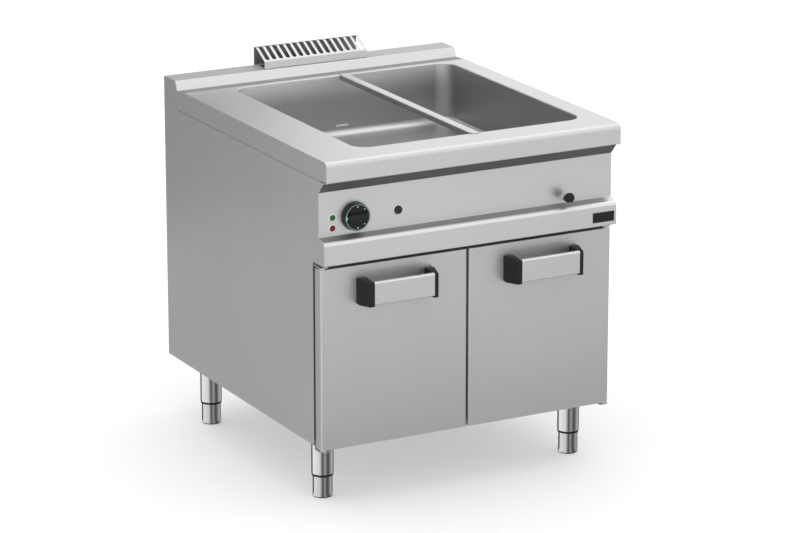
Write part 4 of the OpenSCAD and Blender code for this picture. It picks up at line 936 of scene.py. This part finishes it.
# %% A door skin for each side
door_y, door_back = 37.9, 66.9
door_low, door_top = 151.1, 600.4
hinge_x, hinge_y = 389, 46.9

for name, s in (("left", -1), ("right", 1)):
    skin = block(name + "_door_pan", (s * 2.6, door_y, door_low), (s * 398, door_back, door_top))
    take_off(skin, facing("y", 1))
    bend(skin, 5, lambda a, b: near(a.x, b.x) and both(y=door_y)(a, b), segments=8)
    bend(skin, 1.4, lambda a, b: both(z=door_top)(a, b) and max(a.y, b.y) < door_back - 20, segments=3)
    thicken(skin, sheet)
    cut(skin, bar("bush_punch", 6.15, (s * hinge_x, hinge_y, 140), (s * hinge_x, hinge_y, 610), sides=32))
    ease(skin, 0.3)
    # The door's darker steel is painted shade.
    hand_over(skin, steel_door_painted_shade, name + "_door_skin")

# %% [markdown]
# ## The handles
# A handle is an aluminium bar between two black end caps. The bar's upper edge is well rounded, where the
# fingers go over it, and gets a painted highlight; the lower edge gets painted shade. A cap narrows towards the
# front and its top slopes down, so some of its edges are moved before all of its corners are rounded.

# %% One end cap
bar_low, bar_high, bar_front, bar_rear = 512.7, 569.7, -15.1, -7.1
half_bar, cap_w = 80.5, 22.5
cap_low, cap_high, cap_waist = 505, 571, door_y - 14


def handle_cap(door_middle, s):
    """One end cap; s is -1 for the left end of the bar and 1 for the right."""
    inner, outer = door_middle + s * half_bar, door_middle + s * (half_bar + cap_w)
    cap = block("cap", (inner, bar_front, cap_low), (outer, door_y, cap_high))
    hold(cap, "EDGE")
    slice_at((0, cap_waist, 0), (0, 1, 0))
    for places, move in (({"x": outer, "y": bar_front}, (-s * 11.5, 0, 0)),
            ({"x": outer, "y": cap_waist}, (-s * 2.2, 0, 0)),
            ({"y": bar_front, "z": cap_high}, (0, 0, -5)), ({"y": bar_front, "z": cap_low}, (0, 0, 3))):
        edges_where(cap, both(**places))
        shift(*move)
    bend(cap, 4.2, lambda a, b: both(y=bar_front)(a, b) and abs(a.z - b.z) > 30 and abs(a.x - inner) > 5,
        segments=5)
    bend(cap, 3, lambda a, b: near(a.z, b.z) and max(a.y, b.y) < bar_front + 1, segments=4)
    bend(cap, 5, both(y=cap_waist, z=cap_high), segments=4)
    bend(cap, 7, lambda a, b: both(y=door_y)(a, b) and near(a.z, b.z) and not cap_low + 1 < a.z < cap_high - 1,
        segments=4)
    return cap


# %% The bar and both caps of each door
for name, s in (("left", -1), ("right", 1)):
    middle_x = s * 200.3
    rail = block(name + "_handle_rail", (middle_x - half_bar, bar_front, bar_low),
        (middle_x + half_bar, bar_rear, bar_high))
    bend(rail, 5.5, both(y=bar_front, z=bar_high), segments=8)
    bend(rail, 1.5, both(y=bar_front, z=bar_low), segments=4)
    ease(rail, 0.4)
    hand_over(rail, aluminium, name + "_handle_bar")
    # The upper rounding gets a painted highlight, the lower edge painted shade.
    second_finish(rail, steel_painted_light, lambda middle, normal:
        middle.z > bar_high - 5.6 and normal.y < -0.1 and normal.z > 0.1)
    second_finish(rail, steel_painted_deep_shade, lambda middle, normal: middle.z < bar_low + 1.6 and normal.z < -0.2)
    caps = join(name + "_handle_ends", handle_cap(middle_x, -1), handle_cap(middle_x, 1))
    ease(caps, 1.1, segments=3)
    hand_over(caps, black_plastic, name + "_handle_caps")

# %% [markdown]
# ## The legs
# Each leg is a bright tube with a smaller tube that slides in it, to level the cabinet. Both are turned parts:
# a cylinder with its ends opened or rounded. A black bush at the sleeve's mouth guides the foot, and it is made
# tall and black to stand for the shadow line under the sleeve: partly painted shade. One sleeve is made and
# copied to the other corners, each with its own mesh.

# %% The sleeves
sleeve_low, sleeve_r, foot_bore = 59.4, 27.5, 24.55
x0, y0 = -344.7, 138.4
leg_spots = [(x0, y0), (-x0, y0), (x0, 765.8), (-x0, 765.8)]


def on_leg(name, r, low, high, sides=72):
    """Round bar on the first leg's axis."""
    return bar(name, r, (x0, y0, low), (x0, y0, high), sides)


sleeve = on_leg("leg_tube", sleeve_r, sleeve_low, 156.8)
bend(sleeve, 1.0, both(z=sleeve_low), segments=3)
cut(sleeve, on_leg("foot_punch", foot_bore, 50, 153.8))
bush = on_leg("bush", 26.6, 54.0, 60.5)
cut(bush, on_leg("foot_punch", foot_bore, 50, 70))
first = join("leg_tube", sleeve, bush, on_leg("stud", 4, 156, 167.5, sides=24))
ease(first, 0.5, segments=2)
legs = join("leg_tubes", first, *[copy_of(first, x - x0, y - y0) for x, y in leg_spots[1:]])
hand_over(legs, steel_leg, "leg_sleeves")
# The black ring under each sleeve is partly painted shade.
second_finish(legs, black_plastic, lambda middle, normal: middle.z < sleeve_low - 0.1)

# %% The feet
foot_top, foot_wall, foot_bottom = 153.5, 4, 4
foot = on_leg("foot_tube_front_left", 24.5, 0, foot_top)
faces_where(foot, facing("z", 1))
bpy.ops.mesh.inset(thickness=foot_wall / 1000)
pull(0, 0, foot_bottom - foot_top)
bend(foot, 3, both(z=0), segments=5)
ease(foot, 0.4)
feet = ["foot_front_left", "foot_front_right", "foot_rear_left", "foot_rear_right"]
copies = [foot] + [copy_of(foot, x - x0, y - y0) for x, y in leg_spots[1:]]
for node, made in zip(feet, copies):
    made.name = made.data.name = node.replace("foot", "foot_tube")
    hand_over(made, steel_foot, node)
    # The foot's rounded bottom is black, partly a foot pad and partly painted shade where it meets the floor.
    second_finish(made, black_plastic, lambda middle, normal: middle.z < 3.2 and normal.z < -0.02)

# %% [markdown]
# ## The nodes that stay
# The parts inside are right as the CAD has them, so they stay and only get a finish, which shows when the doors
# are open. It goes into the object's own material slots. The frame behind the doors' gaps is in the dark, so it
# is painted nearly black as shade, and the vent duct gets painted shade too.

# %% Metals and wool for the parts inside
def cloudy(name, dark, light, rough, metal=1.0, grain=90.0, depth=0.00003):
    """Cast, drawn or plated metal, or wool, with a cloudy surface."""
    finish, shader = new_finish(name)
    cloud = noise(finish, (grain, grain, grain), detail=4.0)
    feed(finish, shader, {
        "Base Color": tones(finish, cloud, dark, light), "Metallic": metal,
        "Roughness": spread(finish, cloud, rough - 0.07, rough + 0.07),
        "Normal": relief(finish, cloud, depth)})
    return finish


finish_of_slot = {
    "satin_steel": steel_across,
    "bright_steel": steel_bright,
    "black_plastic": black_plastic,
    "inner_steel": satin("steel_inside", 0.50, 0.48, "x"),
    "brass": cloudy("brass", (0.50, 0.36, 0.14), (0.62, 0.46, 0.20), 0.3),
    "copper": cloudy("copper", (0.52, 0.25, 0.14), (0.66, 0.34, 0.20), 0.32),
    "element": cloudy("heater_sheath", (0.10, 0.085, 0.075), (0.20, 0.16, 0.13), 0.5, metal=0.9),
    "insulation": cloudy("mineral_wool", (0.44, 0.38, 0.24), (0.62, 0.56, 0.38), 0.95, metal=0.0,
        grain=240.0, depth=0.0012),
    "device": cloudy("switch_body", (0.30, 0.28, 0.24), (0.38, 0.36, 0.31), 0.5, metal=0.0, grain=400.0),
    "grey_plastic": moulded("grey_plastic", (0.20, 0.21, 0.22), (0.25, 0.26, 0.27), 0.45),
    "cable": moulded("cable_sheath", (0.016, 0.016, 0.017), (0.03, 0.03, 0.032), 0.5),
    "lever": moulded("lever_grip", (0.28, 0.02, 0.015), (0.36, 0.03, 0.02), 0.4),
    "bush": moulded("bush_nylon", (0.66, 0.65, 0.62), (0.74, 0.73, 0.70), 0.38),
}
finish_of_node = {"front_frame": steel_unlit, "vent_duct": steel_painted_shade}
zinc = cloudy("zinc_plate", (0.46, 0.46, 0.47), (0.58, 0.58, 0.58), 0.36)

# %% A finish for every node that still shows
for name, node in frame["nodes"].items():
    finish = finish_of_node.get(name) or finish_of_slot.get(slot_of.get(name), zinc)
    if not node.material_slots:
        node.data.materials.append(finish)
    for place in node.material_slots:
        place.material = finish
print("nodes finished:", len(frame["nodes"]), "slots known:", len(slot_of))

# %% [markdown]
# ## The studio
# The object stands on a pale floor that runs back without an edge. The camera
# and the metal's reflections also see a glow on the floor, which is a little
# stronger away from the object, so the floor fades to white. It still takes
# the object's shadow. A very wide light hangs overhead, a little behind, and
# the white surroundings fill the rest.

# %% The floor
def calculate(finish, operation, first, second):
    """Works out one number from two."""
    return add(finish, "Math", {0: first, 1: second}, operation=operation).outputs[0]


def background_rays(finish):
    """1 for the rays that see the background: from the camera, a reflection or a lens."""
    path = add(finish, "LightPath")
    largest = path.outputs["Is Camera Ray"]
    for ray in ("Is Glossy Ray", "Is Transmission Ray"):
        largest = calculate(finish, "MAXIMUM", largest, path.outputs[ray])
    return largest


def surface(finish, shader):
    """Sends a shader to the surface."""
    feed(finish, finish.node_tree.nodes["Material Output"], {"Surface": shader.outputs[0]})


paper, paper_shader = new_finish("floor_paper")
feed(paper, paper_shader, {"Base Color": (0.95, 0.95, 0.95, 1), "Roughness": 0.9, "Specular IOR Level": 0.0})
distance = add(paper, "TexGradient", {"Vector": stretched(paper, (0.6, 0.6, 0.6))},
    gradient_type="SPHERICAL").outputs["Fac"]
glow = add(paper, "Emission", {"Strength": ranged(paper, distance, 0.38, 0.75, 1.24, 0.98)})
glow_share = 0.40
share = calculate(paper, "MULTIPLY", background_rays(paper), glow_share)
surface(paper, add(paper, "MixShader",
    {"Fac": share, 1: paper_shader.outputs[0], 2: glow.outputs[0]}))

floor = stock("studio_floor", bpy.ops.mesh.primitive_grid_add, x_subdivisions=4, y_subdivisions=4, size=30,
    location=(0, 0, -0.0005))
floor.data.materials.append(paper)
print("the floor's glow counts for", glow_share, "of what the camera sees")

# %% The white surroundings and the overhead light
world = bpy.data.worlds.new("white_studio")
bpy.context.scene.world = world
world.use_nodes = True
feed(world, world.node_tree.nodes["Background"], {"Color": (1, 1, 1, 1), "Strength": 1.0})

let_go()
bpy.ops.object.light_add(type="SUN", location=(1.0, 1.2, 4.0))
softbox = bpy.context.active_object
softbox.name = "overhead_light"
softbox.data.energy = 0.45
softbox.data.angle = radians(80)
softbox.rotation_euler = (-softbox.location).to_track_quat("-Z", "Y").to_euler()

# %% [markdown]
# ## Grey cards for the metal
# Shiny metal shows the room, so a photographer of metal lays grey cards where
# the panels mirror them. A card here is seen by reflections only: the camera
# and the lamp pass through it. One lies on the floor: mid grey behind at the
# left, paler in front, darker close to the object's foot. The other stands
# behind, where the worktop mirrors it: grey at the left and pale at the right.

# %% The card on the floor
def only_reflections(card, paint):
    """Paints a card that only glossy rays meet."""
    card.data.materials.append(paint)
    for ray in ("camera", "diffuse", "shadow", "transmission", "volume_scatter"):
        setattr(card, "visible_" + ray, False)


def bare_finish(name):
    """A finish without a shader, for a surface that only glows."""
    finish, shader = new_finish(name)
    finish.node_tree.nodes.remove(shader)
    return finish


low_card = stock("floor_card", bpy.ops.mesh.primitive_grid_add, x_subdivisions=4, y_subdivisions=4, size=16,
    location=(0, 0, 0.0004))
paint = bare_finish("card_paint")
in_front = calculate(paint, "MULTIPLY", along(paint, "Y", -2.4, -0.35, 0.78, 0.33),
    along(paint, "X", 0.8, 2.1, 1.0, 0.82))
front_tone = mix(paint, along(paint, "X", -0.9, -0.35, 1.0, 0.0), in_front, 0.85)
card_tone = mix(paint, along(paint, "Y", -0.55, 0.0, 0.0, 1.0), front_tone, 0.40)
surface(paint, add(paint, "Emission", {"Strength": card_tone}))
only_reflections(low_card, paint)

# %% The card that stands behind
high_card = stock("rear_card", bpy.ops.mesh.primitive_grid_add, (5.0, 2.6, 1), x_subdivisions=2,
    y_subdivisions=2, size=1, location=(0.6, 1.5, 1.5), rotation=(pi / 2, 0, 0))
paint = bare_finish("rear_card_paint")
slope = ranged(paint, own_axis(paint, "X"), 0.15, 0.67, 0.22, 0.99)
surface(paint, add(paint, "Emission", {"Strength": slope}))
only_reflections(high_card, paint)

# %% [markdown]
# A polished round leg mirrors the whole room as narrow upright bands. The bands
# are painted on the inside of a short collar round each leg, which again only
# reflections see. From outside the collar is clear.

# %% A striped collar round each leg
paint = bare_finish("collar_paint")
around = add(paint, "TexGradient", {"Vector": own_place(paint)}, gradient_type="RADIAL")
ramp = add(paint, "ValToRGB", {"Fac": around.outputs["Fac"]})
bands = [(0.0, 0.96), (0.11, 0.84), (0.17, 0.13), (0.192, 0.13), (0.225, 0.36), (0.24, 0.36), (0.285, 0.10),
    (0.32, 0.10), (0.375, 0.36), (0.45, 0.55), (0.50, 0.12), (0.56, 0.15), (0.60, 1.0), (0.72, 1.0),
    (0.74, 0.15), (0.80, 0.40), (0.84, 0.12), (0.90, 0.12), (0.925, 1.0), (1.0, 1.0)]
for k, (place, tone) in enumerate(bands):
    stop = ramp.color_ramp.elements[k] if k < 2 else ramp.color_ramp.elements.new(place)
    stop.position = place
    stop.color = (tone, tone, tone, 1)
lit = add(paint, "Emission", {"Color": ramp.outputs["Color"]})
surface(paint, add(paint, "MixShader", {
    "Fac": add(paint, "NewGeometry").outputs["Backfacing"],
    1: add(paint, "BsdfTransparent").outputs[0], 2: lit.outputs[0]}))
for x, y in leg_spots:
    let_go()
    bpy.ops.mesh.primitive_cylinder_add(vertices=96, radius=0.06, depth=0.149, end_fill_type="NGON",
        location=at(x, y, 75))
    collar = bpy.context.active_object
    collar.name = f"leg_collar_{len(bpy.data.objects)}"
    only_reflections(collar, paint)
print("stripes on each collar:", len(bands))

# %% [markdown]
# ## The camera
# It stands far off at the front left and looks down through a long lens, so
# the cabinet's lines stay nearly parallel.

# %% The camera's place, lens and turn
look_down, look_right = 16.355, 28.148
camera_data = bpy.data.cameras.new("camera")
camera = bpy.data.objects.new("camera", camera_data)
bpy.context.scene.collection.objects.link(camera)
camera_data.sensor_width = 36
camera_data.lens = 168.695
camera.location = (-4.219446, -7.944608, 3.090743)
camera.rotation_euler = (radians(90 - look_down), 0, radians(-look_right))
bpy.context.scene.camera = camera
bpy.context.scene.view_settings.view_transform = "Standard"
